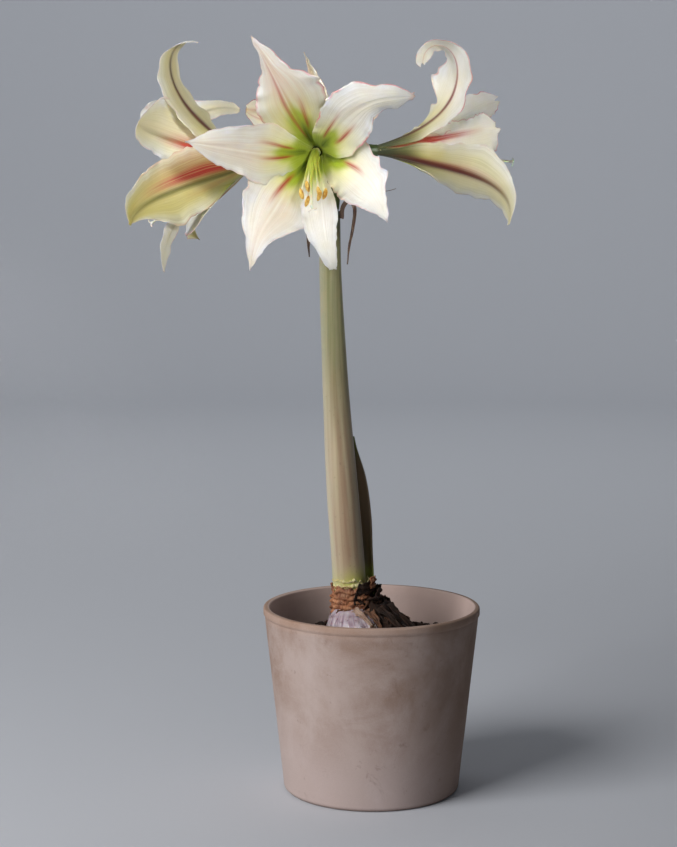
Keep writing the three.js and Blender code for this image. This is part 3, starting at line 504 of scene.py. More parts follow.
def addPetal(bm, petal, matrix, layers):
    rows = midribOf(petal)
    steps = petalMesh["midribSteps"]
    seed = petal["seed"]

    def place(u, v):
        t = 1 - 2 * u
        sign = 1 if t > 0 else -1
        # a blunt tip is ragged
        bite = 0.0016 * petal["tip"] * petal["jag"] * (0.5 + wander(t * 1.7, seed, 5))
        ragged = v * (1 - bite * ease(v, 0.8, 1))
        index = min(int(ragged * steps), steps - 1)
        part = ragged * steps - index
        point, side, face = (a.lerp(b, part) for a, b in zip(rows[index], rows[index + 1]))
        half = bladeWidth(petal, v) / 2 * keyed(petal["ccw" if t > 0 else "cw"], v)
        # the margin is lobed a little, each side in its own way
        lobes = 0.06 * wander(v * 9, sign * 3, 0, seed) + 0.05 * wander(v * 24, sign * 5, 1, seed)
        lobes += sum(high * hump(v, at, long) for side, at, high, long in petal["lobes"] if side == sign)
        jags = 0.8 * wander(v * 26, sign * 7, 2, seed) + 0.5 * wander(v * 52, sign * 9, 3, seed)
        half *= 1 + lobes * ease(abs(t), 0.35, 1.0) * ease(v, 0.2, 0.4) * ease(1 - v, 0.0, 0.1)
        half += petal["jag"] * jags * ease(abs(t), 0.55, 1.0) * ease(v, 0.2, 0.4)
        cup = math.radians(keyed(petal["cup"], v)) or 1e-4
        swell = math.sin(math.pi * clamp((v - 0.13) / 0.87))
        wave = petal["ruffle"] * swell * t * t * math.sin(2 * math.pi * (petal["waves"] * v + 0.13 * sign))
        frill = petal["frill"] * swell * abs(t) ** 4 * math.sin(
            2 * math.pi * (7.5 * v + 0.3 * seed + 0.2 * sign) + 2.5 * wander(v * 5, sign, 0, seed))
        pleats = 0.1 * math.cos(2 * math.pi * 6.5 * t) * (1 - t * t) * ease(v, 0.1, 0.3)
        pleats *= ease(1 - v, 0.02, 0.2)
        groove = -0.75 * hump(t, 0, 0.055) * ease(v, 0.03, 0.15) * (1 - 0.6 * v)
        broad = 0.7 * wander(v * 4, t * 1.6, 2, seed) * swell
        height = half * (1 - math.cos(cup * t)) / cup + wave + frill + pleats + groove + broad
        return matrix @ (point + side * (half * math.sin(cup * t) / cup) + face * height)

    def marks(vert, u, v):
        t = 1 - 2 * u
        half = bladeWidth(petal, v) / 2
        core = 1 - ease(v, petal["throat"] * 0.5, petal["throat"])
        end = petal["band"]
        band = hump(t, 0, mix(0.6, 0.1, ease(v, 0.15, end))) * (1 - ease(v, end * 0.6, end))
        green = clamp(max(core, band))
        ray = hump(t, 0, 0.3) * ease(v, 0.04, 0.1) * (1 - ease(v, 0.14, end * 0.8))
        halo = (1 - ease(v, petal["throat"] * 0.7, end * 1.2)) * hump(t, 0, 0.9)
        lines = {}
        for key in ("streaks", "flames"):
            lines[key] = 0.0
            for side, offset, first, last, width, strength in petal[key]:
                taper = ease(v, first - 0.05, first + 0.06) * (1 - ease(v, mix(first, last, 0.35), last))
                centre = side * offset * (1 + 0.6 * (v - first))
                lines[key] += strength * taper * hump(t, centre, width * (1 + 0.5 * v))
        ribWidth = petal["ribWidth"] * (1.2 - 0.7 * v)
        ribEnd = petal["ribReach"]
        rib = petal["rib"] * hump(t * half, 0, ribWidth) * (1 - ease(v, ribEnd * 0.45, ribEnd))
        olive = petal["olive"] * hump(t * half, 0, 2.4) * (1 - ease(v, 0.6, 1.1))
        blush = petal["blush"] * (0.35 + 0.65 * hump(t, 0.1, 0.5))
        lines["streaks"] += 0.6 * ease(v, 0.96, 1.0) * petal["edge"]
        vert[layers["inside"]] = (green * 0.6 + 0.4 * ray, halo, clamp(lines["streaks"]), blush)
        vert[layers["outside"]] = (clamp(max(core * 0.9, olive)), clamp(halo * 0.9), clamp(lines["flames"]),
                                   blush * 0.5)
        vert[layers["other"]] = (rib, petal["sap"], petal["edge"] * ease(v, 0.25, 0.5),
                                 1 - ease(v, 0.04, petal["deep"]))
        vert[layers["body"]][0] = mix(1.0, petalMesh["rim"], ease(abs(t), 0.0, 1.0)) * mix(1.0, 0.6, v)

    sheet(bm, petalMesh["across"], petalMesh["along"], place, marks=marks)


def makePetals(name, bloom):
    bm = bmesh.new()
    layers = {
        "inside": bm.verts.layers.float_color.new("insideMarks"),
        "outside": bm.verts.layers.float_color.new("outsideMarks"),
        "other": bm.verts.layers.float_color.new("otherMarks"),
        "body": bm.verts.layers.deform.verify(),
    }
    matrix = toPlant(bloom)
    for petal in bloom["petals"]:
        addPetal(bm, petal, matrix, layers)
    piece = finishPiece("petals" + name.capitalize(), bm, [petalInside, petalOutside],
                        ["tepals_" + name], outwards=False)
    piece.vertex_groups.new(name="body")
    solid = thicken(piece, petalMesh["thickness"])
    solid.vertex_group = "body"
    solid.material_offset = 1


petalInside = petalFinish("petalInside", True)
petalOutside = petalFinish("petalOutside", False)
for name, bloom in blooms.items():
    makePetals(name, bloom)
print("petals are open")


# A point of course is a share of the reach, the ring's width and height there, a lift and a share of the
# droop.
stamens = dict(
    foot=9.8, radius=1.45, styleRadius=1.3, sides=10, steps=30, sunk=1.0, reach=(0.88, 0.94, 1.0),
    styleReach=1.45, anther=(8.6, 2.15), lobes=3,
    course=((0, 1.7, 1.7, 0, 0), (0.35, 3, 2.5, 0, 0.2), (0.7, 6, 3, 1, 0.6), (1, 9, 4, 3, 1)),
)
droops = {
    "front": dict(down=29, reach=62, side=7, styleDown=34),
    "right": dict(down=9, reach=70, side=-2, styleDown=16),
    "left": dict(down=15, reach=68, side=-6, styleDown=40),
    "back": dict(down=6, reach=60, side=-6, styleDown=9),
}


def filamentFinish():
    f = Finish("filament")
    along = f.axes(f.uv())[1]
    lower = f.mixed(f.fade(along, 0.12, 0.5), tone(150, 164, 44), tone(184, 192, 84))
    lower = f.mixed(f.fade(along, 0.04, 0.14), tone(222, 214, 160), lower)
    colour = f.mixed(f.fade(along, 0.6, 0.98), lower, tone(240, 234, 206))
    f.give(Base_Color=colour, Roughness=0.4, Subsurface_Weight=0.3, Subsurface_Scale=0.001)
    f.bump(f.noise(f.place(), 700.0, 2.0), 0.1, 0.0003)
    return f.material


def pollenFinish():
    f = Finish("pollen")
    grain = f.node("TexVoronoi", {"Vector": f.place(), "Scale": 1500.0}).outputs["Distance"]
    patch = f.noise(f.place(), 260.0, 3.0, 0.6)
    colour = f.mixed(f.fade(patch, 0.35, 0.65), tone(190, 132, 34), tone(232, 196, 104))
    f.give(Base_Color=colour, Roughness=0.85)
    f.bump(grain, 0.6, 0.0003)
    return f.material


def makeStamens(name, bloom):
    bm = bmesh.new()
    matrix = toPlant(bloom)
    droop = droops[name]
    foot = stamens["foot"]
    draw = random.Random(bloom["heading"] + 500)
    for i in range(7):
        isStyle = i == 6
        angle = math.radians(60 * (i + 0.5))
        share = stamens["styleReach"] if isStyle else stamens["reach"][i % 3]
        fall = droop["styleDown"] if isStyle else droop["down"] * share
        x, y = (0, 0) if isStyle else (-math.sin(angle), math.cos(angle))
        reach = droop["reach"] * share - stamens["sunk"]
        spine = [matrix @ Vector((x * wide + droop["side"] * share * lower, y * tall + lift - fall * lower,
                                  foot + reach * far)) for far, wide, tall, lift, lower in stamens["course"]]
        spine.insert(0, matrix @ Vector((x * 1.7, y * 1.7, foot - 5)))
        points = route(spine, stamens["steps"])
        radius = stamens["styleRadius"] if isStyle else stamens["radius"]
        tube(bm, points, lambda angle, s: radius * mix(1.5, 0.7, ease(s, 0, 0.7)), stamens["sides"])
        ahead = (points[-1] - points[-2]).normalized()
        if isStyle:
            addStigma(bm, points[-1], ahead)
        else:
            addAnther(bm, points[-1], ahead, draw)
    finishPiece("stamens" + name.capitalize(), bm, [filament, pollen, stigma], ["stamens_" + name])


def addAnther(bm, tip, ahead, draw):
    # a curved sac in two halves, hung by its middle from the filament's tip
    length, radius = stamens["anther"]
    down = (Vector((0, 0, -1)) + 0.35 * Vector((draw.uniform(-1, 1), draw.uniform(-1, 1), 0))).normalized()
    bow = (ahead - down * ahead.dot(down)).normalized()
    points = []
    for k in range(13):
        part = k / 12
        bulge = 1.6 * math.cos(math.pi * (part - 0.5)) - 0.6
        points.append(tip + down * (length * (part - 0.42)) + bow * bulge)

    def radiusAt(angle, s):
        furrow = 1 - 0.3 * abs(math.cos(angle)) ** 6
        return radius * furrow * max(0.12, math.sin(math.pi * clamp(s, 0.02, 0.98)) ** 0.5)

    tube(bm, points, radiusAt, 14, material=1, start=down.cross(bow))


def addStigma(bm, tip, ahead):
    side = ahead.orthogonal().normalized()
    for k in range(stamens["lobes"]):
        out = Matrix.Rotation(2 * math.pi * k / stamens["lobes"], 3, ahead) @ side
        points = route([tip - ahead * 1.0, tip + ahead * 1.2 + out * 1.0, tip + ahead * 1.6 + out * 2.6,
                        tip + ahead * 0.8 + out * 3.8], 8)
        tube(bm, points, lambda angle, s: mix(1.05, 0.5, s), 8, material=2)


filament = filamentFinish()
pollen = pollenFinish()
stigma = plainFinish("stigma", tone(238, 232, 208), tone(250, 246, 232), 400.0, 0.5, subsurface=0.3)
for name, bloom in blooms.items():
    makeStamens(name, bloom)
print("stamens stand in their throats")


stalkShape = dict(
    foot=481.3, radius=2.9, upright=3, bow=(0.35, 0.6), elbow=6, ovaryRadius=5.4, ovaryFoot=3.6,
    ovaryLength=16, sides=24, steps=48,
)


def flowerStalkFinish():
    f = Finish("flowerStalk")
    along = f.axes(f.uv())[1]
    patch = f.noise(f.place(), 60.0, 4.0)
    lines = f.noise(f.stretched(f.uv(), (40, 3, 1)), 1.0, 2.0)
    colour = f.mixed(f.fade(patch, 0.3, 0.7), tone(66, 80, 34), tone(104, 118, 52))
    colour = f.over(colour, tone(132, 138, 74), f.fade(lines, 0.45, 0.65), 0.4)
    colour = f.mixed(f.fade(along, 0.6, 0.9), colour, tone(52, 68, 26))
    colour = f.mixed(f.fade(along, 0.985, 0.995), colour, tone(128, 146, 52))
    f.give(Base_Color=colour, Roughness=0.42, Subsurface_Weight=0.1, Subsurface_Scale=0.001)
    f.bump(lines, 0.25, 0.0005)
    return f.material


def makeFlowerStalk(name, bloom):
    bm = bmesh.new()
    matrix = toPlant(bloom)
    shape = stalkShape
    foot = Vector((*bloom["foot"], shape["foot"]))
    elbow = matrix @ Vector((0, 0, -shape["ovaryLength"] - shape["elbow"]))

    def between(across, up):
        return Vector((mix(foot.x, elbow.x, across), mix(foot.y, elbow.y, across), mix(foot.z, elbow.z, up)))

    upright = between(0.03, shape["upright"] / (elbow.z - foot.z))
    ends = [matrix @ Vector((0, 0, z)) for z in (-shape["ovaryLength"] / 2, 0, tubeOfPetals["length"])]
    points = route([foot, upright, between(*shape["bow"]), elbow, *ends], shape["steps"])
    total = sum((b - a).length for a, b in zip(points, points[1:]))
    ovaryFrom = 1 - (shape["ovaryLength"] + tubeOfPetals["length"] + 1) / total
    tubeFrom = 1 - tubeOfPetals["length"] / total

    def radiusAt(angle, s):
        if s > tubeFrom:
            part = (s - tubeFrom) / (1 - tubeFrom)
            radius = mix(tubeOfPetals["foot"], tubeOfPetals["mouth"], part)
            radius *= 1 + 0.03 * math.cos(6 * angle)
            return radius * math.sqrt(max(0.02, 1 - ease(part, 0.3, 1.0) ** 2))
        part = clamp((s - ovaryFrom) / (tubeFrom - ovaryFrom))
        belly = math.sin(math.pi * part) ** 0.8 if part > 0 else 0
        radius = mix(shape["radius"], tubeOfPetals["foot"], ease(part, 0, 1))
        radius += (shape["ovaryRadius"] - shape["ovaryFoot"]) * belly
        return radius * (1 + belly * (0.09 * math.cos(3 * angle) - 0.03 * math.cos(6 * angle)))

    tube(bm, points, radiusAt, shape["sides"])
    finishPiece("flowerStalk" + name.capitalize(), bm, [flowerStalk], ["pedicel_" + name])


flowerStalk = flowerStalkFinish()
for name, bloom in blooms.items():
    makeFlowerStalk(name, bloom)
print("flower stalks and ovaries")


scape = dict(
    spine=((-17.4, 0, 151), (-19.2, 0, 185), (-23.6, 0, 242), (-28.2, 0, 309), (-31.8, 0, 375),
           (-34.2, 0, 432), (-34.4, 0, 481)),
    radius=(13.9, 13.6, 12.9, 11.3, 10, 9.1, 8.3), depth=0.88, sides=64, steps=130, ribs=26,
)


def scapeFinish():
    f = Finish("scapeSkin")
    height = f.axes(f.place())[2]
    lines = f.noise(f.place((260, 260, 4)), 1.0, 3.0, 0.6)
    patch = f.noise(f.place((30, 30, 9)), 1.0, 4.0, 0.6)
    specks = f.noise(f.place((1, 1, 0.5)), 520.0, 2.0, 0.7)
    wobble = f.maths("MULTIPLY_ADD", patch, 0.05, -0.025)
    level = f.maths("ADD", height, wobble)
    uv = f.uv()
    bands = f.noise(f.stretched(uv, (7, 0.7, 1)), 1.0, 3.0, 0.6, 0.3)
    colour = f.mixed(f.fade(level, 0.172, 0.2), tone(204, 206, 96), tone(200, 181, 148))
    rosy = f.mixed(f.fade(bands, 0.38, 0.6), tone(198, 181, 148), tone(162, 130, 102))
    colour = f.mixed(f.fade(level, 0.168, 0.21), colour, rosy)
    colour = f.mixed(f.fade(level, 0.26, 0.4), colour, tone(120, 118, 76))
    colour = f.mixed(f.fade(level, 0.42, 0.48), colour, tone(94, 98, 50))
    # painted light and shade: the flank towards -X, facing the window light, is paler, the one towards +X
    # darker
    around = f.axes(uv)[0]
    pale = f.maths("MULTIPLY", f.fade(around, 0.46, 0.3, 0.0, 0.42), f.fade(around, 0.0, 0.12))
    dark = f.maths("MULTIPLY", f.fade(around, 0.5, 0.72, 0.0, 0.5), f.fade(around, 1.0, 0.88))
    colour = f.mixed(pale, colour, tone(208, 204, 184))
    colour = f.mixed(dark, colour, tone(84, 78, 56))
    colour = f.over(colour, tone(190, 182, 140), f.fade(lines, 0.45, 0.7), 0.3)
    colour = f.over(colour, tone(96, 84, 56), f.fade(specks, 0.62, 0.75), 0.35)
    f.give(Base_Color=colour, Roughness=f.fade(patch, 0.2, 0.8, 0.38, 0.52), Subsurface_Weight=0.12,
           Subsurface_Scale=0.0015, Sheen_Weight=0.2, Sheen_Roughness=0.5)
    f.bump(lines, 0.25, 0.0005)
    return f.material


def makeScape():
    bm = bmesh.new()
    points = route(scape["spine"], scape["steps"])

    def radiusAt(angle, s):
        ribs = 0.045 * math.cos(scape["ribs"] * angle + 0.6 * math.sin(3 * s))
        lumps = 0.16 * wander(math.cos(angle) * 1.2, math.sin(angle) * 1.2, s * 9, 3)
        end = 1 - 0.2 * hump(s, 1, 0.006)
        return (keyed(scape["radius"], s) + ribs + lumps) * end

    tube(bm, points, radiusAt, scape["sides"], scape["depth"], start=(0, 1, 0))
    finishPiece("scapeStem", bm, [scapeFinish()], ["scape"])


makeScape()
print("the scape")


def strap(bm, shape, along, across, depthAt):
    points = route(shape["spine"], along)
    back = Vector(shape["face"]).normalized()

    def place(u, v):
        t = 1 - 2 * u
        i = round(v * along)
        ahead = (points[min(i + 1, along)] - points[max(i - 1, 0)]).normalized()
        side = ahead.cross(back).normalized()
        return points[i] + side * (keyed(shape["width"], v) / 2 * t) - back * depthAt(t, v)

    sheet(bm, across, along, place)


leaf = dict(
    spine=((-1.5, 7, 152), (-2.2, 9, 182), (-6, 12.5, 215), (-10, 13.5, 252), (-15.5, 12.5, 294)),
    width=(8, 8.5, 15, 13, 1.2), thickness=1.5, channel=2.6, face=(0.35, 1, 0.1), along=60, across=20,
)
bracts = {
    "spathe_right": dict(
        spine=((-25.2, -3.5, 474), (-23.4, -5, 484), (-18.5, -7.5, 489), (-14.4, -8.5, 483),
               (-15.4, -8.5, 468), (-18.8, -8.5, 451), (-20.3, -8, 437)),
        width=(5, 4.6, 4.2, 3.4, 2.8, 2.0, 0.8), face=(0.75, 0.66, 0)),
    "spathe_left": dict(
        spine=((-43.6, -3.5, 474), (-45.6, -5, 484), (-49.6, -7.5, 488), (-53, -8.5, 481),
               (-52.6, -8.5, 466), (-51.2, -8, 443)),
        width=(7, 7.4, 6.6, 5.2, 3.6, 1), face=(-0.75, 0.66, 0)),
}
bractMesh = dict(along=60, across=14, thickness=0.45)
# a dry thread among the flower stalks, as a spathe's small inner bracts leave
thread = dict(
    spine=((-27, -2, 479), (-16, -4, 491), (2, -6, 497.5), (11, -6, 496), (19, -6, 498)), foot=0.5, tip=0.22,
    steps=40, sides=8,
)


def leafFinish():
    f = Finish("leafBlade")
    height = f.axes(f.place())[2]
    uv = f.uv()
    lines = f.noise(f.stretched(uv, (24, 1.6, 1)), 1.0, 2.0)
    patch = f.noise(f.place((1, 1, 0.3)), 70.0, 3.0)
    colour = f.mixed(f.fade(height, 0.174, 0.192), tone(168, 190, 70), tone(126, 112, 74))
    colour = f.mixed(f.fade(height, 0.188, 0.225), colour, tone(128, 106, 82))
    colour = f.mixed(f.fade(height, 0.265, 0.3), colour, tone(92, 118, 46))
    colour = f.over(colour, tone(92, 98, 50), f.fade(lines, 0.45, 0.65), 0.4)
    colour = f.over(colour, tone(50, 38, 30), f.fade(patch, 0.5, 0.8), 0.4)
    f.give(Base_Color=colour, Roughness=0.42, Subsurface_Weight=0.05, Subsurface_Scale=0.001)
    f.bump(lines, 0.4, 0.0006)
    return f.material


def dryFinish(name, dark, light, pale):
    f = Finish(name)
    uv = f.uv()
    fibres = f.noise(f.stretched(uv, (30, 2, 1)), 1.0, 4.0, 0.6, 0.4)
    patch = f.noise(f.place(), 110.0, 5.0, 0.65)
    colour = f.mixed(f.fade(patch, 0.32, 0.66), dark, light)
    colour = f.over(colour, pale, f.fade(fibres, 0.5, 0.72), 0.55)
    f.give(Base_Color=colour, Roughness=f.fade(patch, 0.2, 0.8, 0.72, 0.92), Subsurface_Weight=0.08,
           Subsurface_Scale=0.001)
    f.bump(fibres, 0.5, 0.0006)
    f.bump(f.noise(f.place(), 500.0, 4.0, 0.7), 0.4, 0.0005)
    return f.material


def makeLeaf():
    bm = bmesh.new()

    def depthAt(t, v):
        gutter = leaf["channel"] * (t * t - 0.5) * math.sin(math.pi * min(v + 0.12, 1))
        return gutter + 0.12 * math.cos(9 * math.pi * t) * (1 - t * t) + 0.3 * wander(v * 6, t)

    strap(bm, leaf, leaf["along"], leaf["across"], depthAt)
    piece = finishPiece("leafStrap", bm, [leafFinish()], ["leaf"], outwards=False)
    thicken(piece, leaf["thickness"])


def makeBract(node, shape, seed):
    bm = bmesh.new()

    def depthAt(t, v):
        roll = 1.5 * (t * t - 0.5) * math.sin(math.pi * clamp(v * 1.1))
        return roll + 0.35 * wander(v * 14, t * 2.0, 0, seed) + 0.12 * math.cos(5 * math.pi * t)

    strap(bm, shape, bractMesh["along"], bractMesh["across"], depthAt)
    name = "bract" + node.split("_")[1].capitalize()
    piece = finishPiece(name, bm, [dryBract], [node], outwards=False)
    thicken(piece, bractMesh["thickness"])


def makeThread():
    bm = bmesh.new()
    points = route(thread["spine"], thread["steps"])
    tube(bm, points, lambda angle, s: mix(thread["foot"], thread["tip"], s), thread["sides"])
    finishPiece("bractThread", bm, [dryBract])


dryBract = dryFinish("dryBract", tone(64, 44, 40), tone(112, 88, 70), tone(168, 148, 124))
makeLeaf()
for seed, (node, shape) in enumerate(bracts.items()):
    makeBract(node, shape, seed)
makeThread()
print("leaf and bracts")


# Each scale has the turns, in degrees, where it starts to stand out and is full, where it starts to end and
# has ended, and how far it stands out.
bulb = dict(
    centre=(-1, 0), neckShift=-9, shiftFrom=128, shiftTo=160, ridges=7, ridgeHeight=0.9,
    profile=((0.3, 70), (20, 71.5), (35, 85), (41.5, 100), (42, 114), (39.5, 127), (36, 136), (31.5, 143),
             (26.5, 148.5), (21.5, 152.5), (17, 154)),
    scales=((180, 225, 259, 264, 1.8), (264, 280, 291, 295, 0.9)), across=180, along=60,
)


def bulbPoint(angle, height, radius):
    ridge = math.cos(angle * bulb["ridges"]) * bulb["ridgeHeight"] if height > 80 else 0
    shift = bulb["neckShift"] * ease(height, bulb["shiftFrom"], bulb["shiftTo"])
    return Vector((math.cos(angle) * (radius + ridge) + bulb["centre"][0] + shift,
                   math.sin(angle) * (radius + ridge) + bulb["centre"][1], height))


def bulbRadius(height):
    profile = bulb["profile"]
    for (r0, z0), (r1, z1) in zip(profile[1:], profile[2:]):
        if z0 <= height <= z1:
            return mix(r0, r1, (height - z0) / (z1 - z0))
    return profile[-1][0]


def bulbFinish():
    f = Finish("bulbScale")
    uv = f.uv()
    veins = f.noise(f.stretched(uv, (60, 3, 1)), 1.0, 3.0, 0.6, 0.5)
    patch = f.noise(f.place(), 60.0, 4.0, 0.6)
    height = f.axes(f.place())[2]
    colour = f.mixed(f.fade(patch, 0.35, 0.62), tone(226, 218, 220), tone(190, 172, 180))
    lower = f.maths("MULTIPLY", f.fade(veins, 0.42, 0.64), f.fade(height, 0.152, 0.143, 0.3, 0.9))
    colour = f.mixed(lower, colour, tone(122, 88, 106))
    stain = f.fade(f.noise(f.place(), 130.0, 3.0), 0.52, 0.66)
    colour = f.over(colour, tone(92, 44, 44), stain, f.fade(height, 0.152, 0.147))
    f.give(Base_Color=colour, Roughness=0.38, Subsurface_Weight=0.2, Subsurface_Scale=0.002,
           Coat_Weight=0.15)
    f.bump(veins, 0.4, 0.0006)
    return f.material


def makeBulb():
    bm = bmesh.new()

    def place(u, v):
        angle = 2 * math.pi * u
        x = v * (len(bulb["profile"]) - 1)
        i = min(int(x), len(bulb["profile"]) - 2)
        radius = mix(bulb["profile"][i][0], bulb["profile"][i + 1][0], x - i)
        height = mix(bulb["profile"][i][1], bulb["profile"][i + 1][1], x - i)
        fold = 0.5 * wander(math.cos(angle) * 3, math.sin(angle) * 3, height * 0.02, 5) * ease(radius, 5, 20)
        # an outer scale ends at the front in a step, over the next one
        turn = math.degrees(angle) + 0.5 * (height - 150)
        for start, full, ending, ended, proud in bulb["scales"]:
            stands = ease(turn, start, full) * (1 - ease(turn, ending, ended))
            fold += proud * stands * ease(height, 120, 140)
        return bulbPoint(angle, height, radius + fold)

    sheet(bm, bulb["across"], bulb["along"], place, around=True)
    finishPiece("bulbFlesh", bm, [bulbFinish()], ["bulb"])


# Papery layers round the neck: each has a middle direction and a spread in degrees, its lower and upper
# height, how far it stands off the neck, its curl at the top and a finish.
wraps = (
    (-110, 150, 166, 177, 14.2, 0.5, 2), (50, 150, 166, 177, 14.6, 0.6, 2),
    (-150, 150, 150, 172, 14.6, 0.6, 0), (-95, 110, 150, 170.5, 16.2, 0.9, 0),
    (-20, 130, 148, 176, 18.5, 2.2, 1), (62, 130, 148, 175, 17.5, 2.0, 1),
    (150, 130, 148, 173, 15.4, 0.8, 0), (-68, 76, 149, 166, 18.2, 1.2, 0),
    (-125, 110, 149, 164, 16.8, 0.9, 0), (5, 90, 146, 170, 23.0, 3.2, 1),
    (-30, 70, 146, 164, 23.6, 3.0, 1), (98, 80, 146, 168, 20.5, 2.2, 1),
    (-86, 64, 148, 158.5, 19.4, 1.4, 0), (-22, 30, 170, 178.5, 20.2, 1.6, 0),
    (20, 60, 144, 160, 27.0, 3.0, 1), (-38, 60, 148, 160, 22.6, 2.4, 4),
    (-134, 66, 148, 158, 17.6, 1.0, 0), (-108, 40, 147, 154, 20.4, 1.2, 4),
)
tunic = dict(centre=(-17, 0), neckDepth=0.86, crumple=0.85, thickness=0.45, wrapRows=22)
# The skin that still covers the shoulders on the right and at the back, torn away at the front left. Its
# tatters are small torn ends that stand off it.
mantle = dict(
    start=-72, sweep=205, top=159, bottom=122, neck=24.5, off=1.4, across=220, along=64, tatters=34,
    tatterFall=(4, 10), tatterWidth=(3, 7), tatterOff=(1.2, 2.6, 3.0),
)


def addWrap(bm, middle, spread, low, high, off, curl, material, seed):
    def place(u, v):
        angle = math.radians(middle + spread * (u - 0.5))
        torn = 2.6 * wander(u * spread / 14, seed, 0, 7) + 1.4 * wander(u * spread / 4, seed, 3, 7)
        ends = 1 - 0.45 * max(hump(u, 0, 0.08), hump(u, 1, 0.08))
        height = mix(low, high + torn, v * ends)
        rolls = tunic["crumple"] * math.sin(height * 1.4 + 2.6 * wander(u * 5, seed, 1, 2)) * ease(v, 0, 0.2)
        creases = 0.9 * wander(u * spread / 9, height * 0.16, seed, 4)
        creases += 0.5 * wander(u * spread / 3, height * 0.5, seed, 5)
        radius = off + rolls + creases + curl * ease(v, 0.55, 1.0) * (0.6 + wander(u * 4, seed, 5))
        centre = tunic["centre"][0] - (height - 165) * 0.05
        return Vector((centre + math.cos(angle) * radius,
                       tunic["centre"][1] + math.sin(angle) * radius * tunic["neckDepth"], height))

    sheet(bm, max(20, int(spread / 2)), tunic["wrapRows"], place, material)


def addMantle(bm):
    def place(u, v):
        torn = 3 * wander(u * 12, 0, 0, 9) + 1.6 * wander(u * 40, 2, 0, 9)
        top = mantle["top"] + 3.5 * wander(u * 11, 1, 0, 9) + 2.2 * wander(u * 38, 3, 0, 9)
        height = mix(top, mantle["bottom"] + torn, v)
        turn = mantle["start"] + mantle["sweep"] * u - 10 * (1 - u) * v
        angle = math.radians(turn + 5 * wander(v * 6, 1, 0, 9) * (1 - u) ** 4)
        neck = mantle["neck"] - 2 * ease(height, 150, 164)
        radius = max(bulbRadius(min(height, 153)), neck) + mantle["off"]
        pleats = 2.2 * wander(u * 14, v * 2.2, 1, 9) + 1.5 * wander(u * 34, v * 6, 2, 9)
        pleats += 0.5 * wander(u * 90, v * 14, 3, 9)
        return bulbPoint(angle, height, radius + abs(pleats) * ease(v, 0.02, 0.2))

    sheet(bm, mantle["across"], mantle["along"], place, 1)


# Loose flaps of skin on the front shoulder: a root, a middle and a tip, a width and a finish.
flaps = (
    ((-15, -21, 154.5), (-7, -28.5, 150.5), (0, -34.5, 144), 6, 3),
    ((-4, -22, 155), (3, -30, 149), (7, -35, 142), 7, 4),
    ((6, -21, 157), (16, -26, 149), (23, -31, 140), 8, 1),
    ((14, -13, 158), (25, -18, 148), (34, -22, 137), 9, 1),
)
flapMesh = dict(across=16, along=20)


def addFlap(bm, root, middle, tip, width, material, seed):
    steps = flapMesh["along"]
    points = route([root, middle, tip], steps)
    back = (Vector(middle) - Vector((bulb["centre"][0] - 5, 0, middle[2] - 12))).normalized()

    def place(u, v):
        t = 1 - 2 * u
        i = round(v * steps)
        ahead = (points[min(i + 1, steps)] - points[max(i - 1, 0)]).normalized()
        side = ahead.cross(back).normalized()
        half = width / 2 * (1 - 0.75 * v ** 2) * (1 + 0.6 * wander(v * 5, t * 2, seed, 6))
        lift = 1.5 * wander(v * 4, t * 2.5, seed, 1) + 0.5 * wander(v * 11, t * 6, seed, 2) + 1.0 * t * t * v
        return points[i] + side * half * t + back * lift

    sheet(bm, flapMesh["across"], steps, place, material)


def addTatters(bm):
    draw = random.Random(21)
    for i in range(mantle["tatters"]):
        angle, height = math.radians(draw.uniform(-78, 60 if i % 3 else 160)), draw.uniform(132, 151)
        fall, drift = draw.uniform(*mantle["tatterFall"]), draw.uniform(-0.16, 0.16)
        points = []
        for k, off in enumerate(mantle["tatterOff"]):
            level = height - fall * k / 2
            points.append(bulbPoint(angle + drift * k, level, bulbRadius(level) + off))
        addFlap(bm, *points, draw.uniform(*mantle["tatterWidth"]), draw.choice((1, 1, 1, 4, 4, 3)), i + 10)


def makeTunic():
    bm = bmesh.new()
    for seed, wrap in enumerate(wraps):
        addWrap(bm, *wrap, seed + 1)
    addMantle(bm)
    for seed, flap in enumerate(flaps):
        addFlap(bm, *flap, seed)
    addTatters(bm)
    skins = [
        dryFinish("skinTan", tone(112, 66, 44), tone(186, 126, 88), tone(216, 174, 138)),
        dryFinish("skinDark", tone(32, 19, 11), tone(58, 36, 23), tone(90, 62, 42)),
        dryFinish("skinCream", tone(196, 182, 112), tone(230, 222, 164), tone(240, 234, 200)),
        dryFinish("skinRosy", tone(132, 100, 84), tone(186, 158, 138), tone(220, 200, 182)),
        dryFinish("skinBrown", tone(74, 46, 32), tone(124, 84, 58), tone(168, 128, 96)),
    ]
    piece = finishPiece("bulbTunic", bm, skins, ["bulb_tunic"], outwards=False)
    thicken(piece, tunic["thickness"])


makeBulb()
makeTunic()
print("bulb and dry skin")


pot = dict(
    rim=90, foot=73, height=154, wall=5.5, floor=9, lipHeight=6, lipProud=0.35, lipSlope=2, lipRound=1.7,
    footRound=4, segments=160, drains=3, drainRadius=6, drainRing=30, drainSegments=40,
)
soil = dict(
    top=124, slack=0.8, edgeDrop=4, relief=3.2, mound=5, moundFrom=70, moundTo=30, rings=70, segments=170,
    waves=((0.21, 0.17, 0.9, 0.23), (0.21, -0.17, 1.7, 0.23), (0.47, -0.31, 2.1, 0.3),
           (0.13, 0.53, 1.6, 0.25)),
    crumbs=900, crumbsFrom=36, crumbSize=(0.6, 1.6), clods=0.14, clodSize=(1.8, 3.2),
    chips=90, chipsFrom=38, chipLength=(2.5, 6), chipWidth=(0.7, 1.4),
    roots=16, rootsFrom=40, rootsAhead=10, rootStep=(4, 7.5), rootRadius=(0.35, 0.8),
)


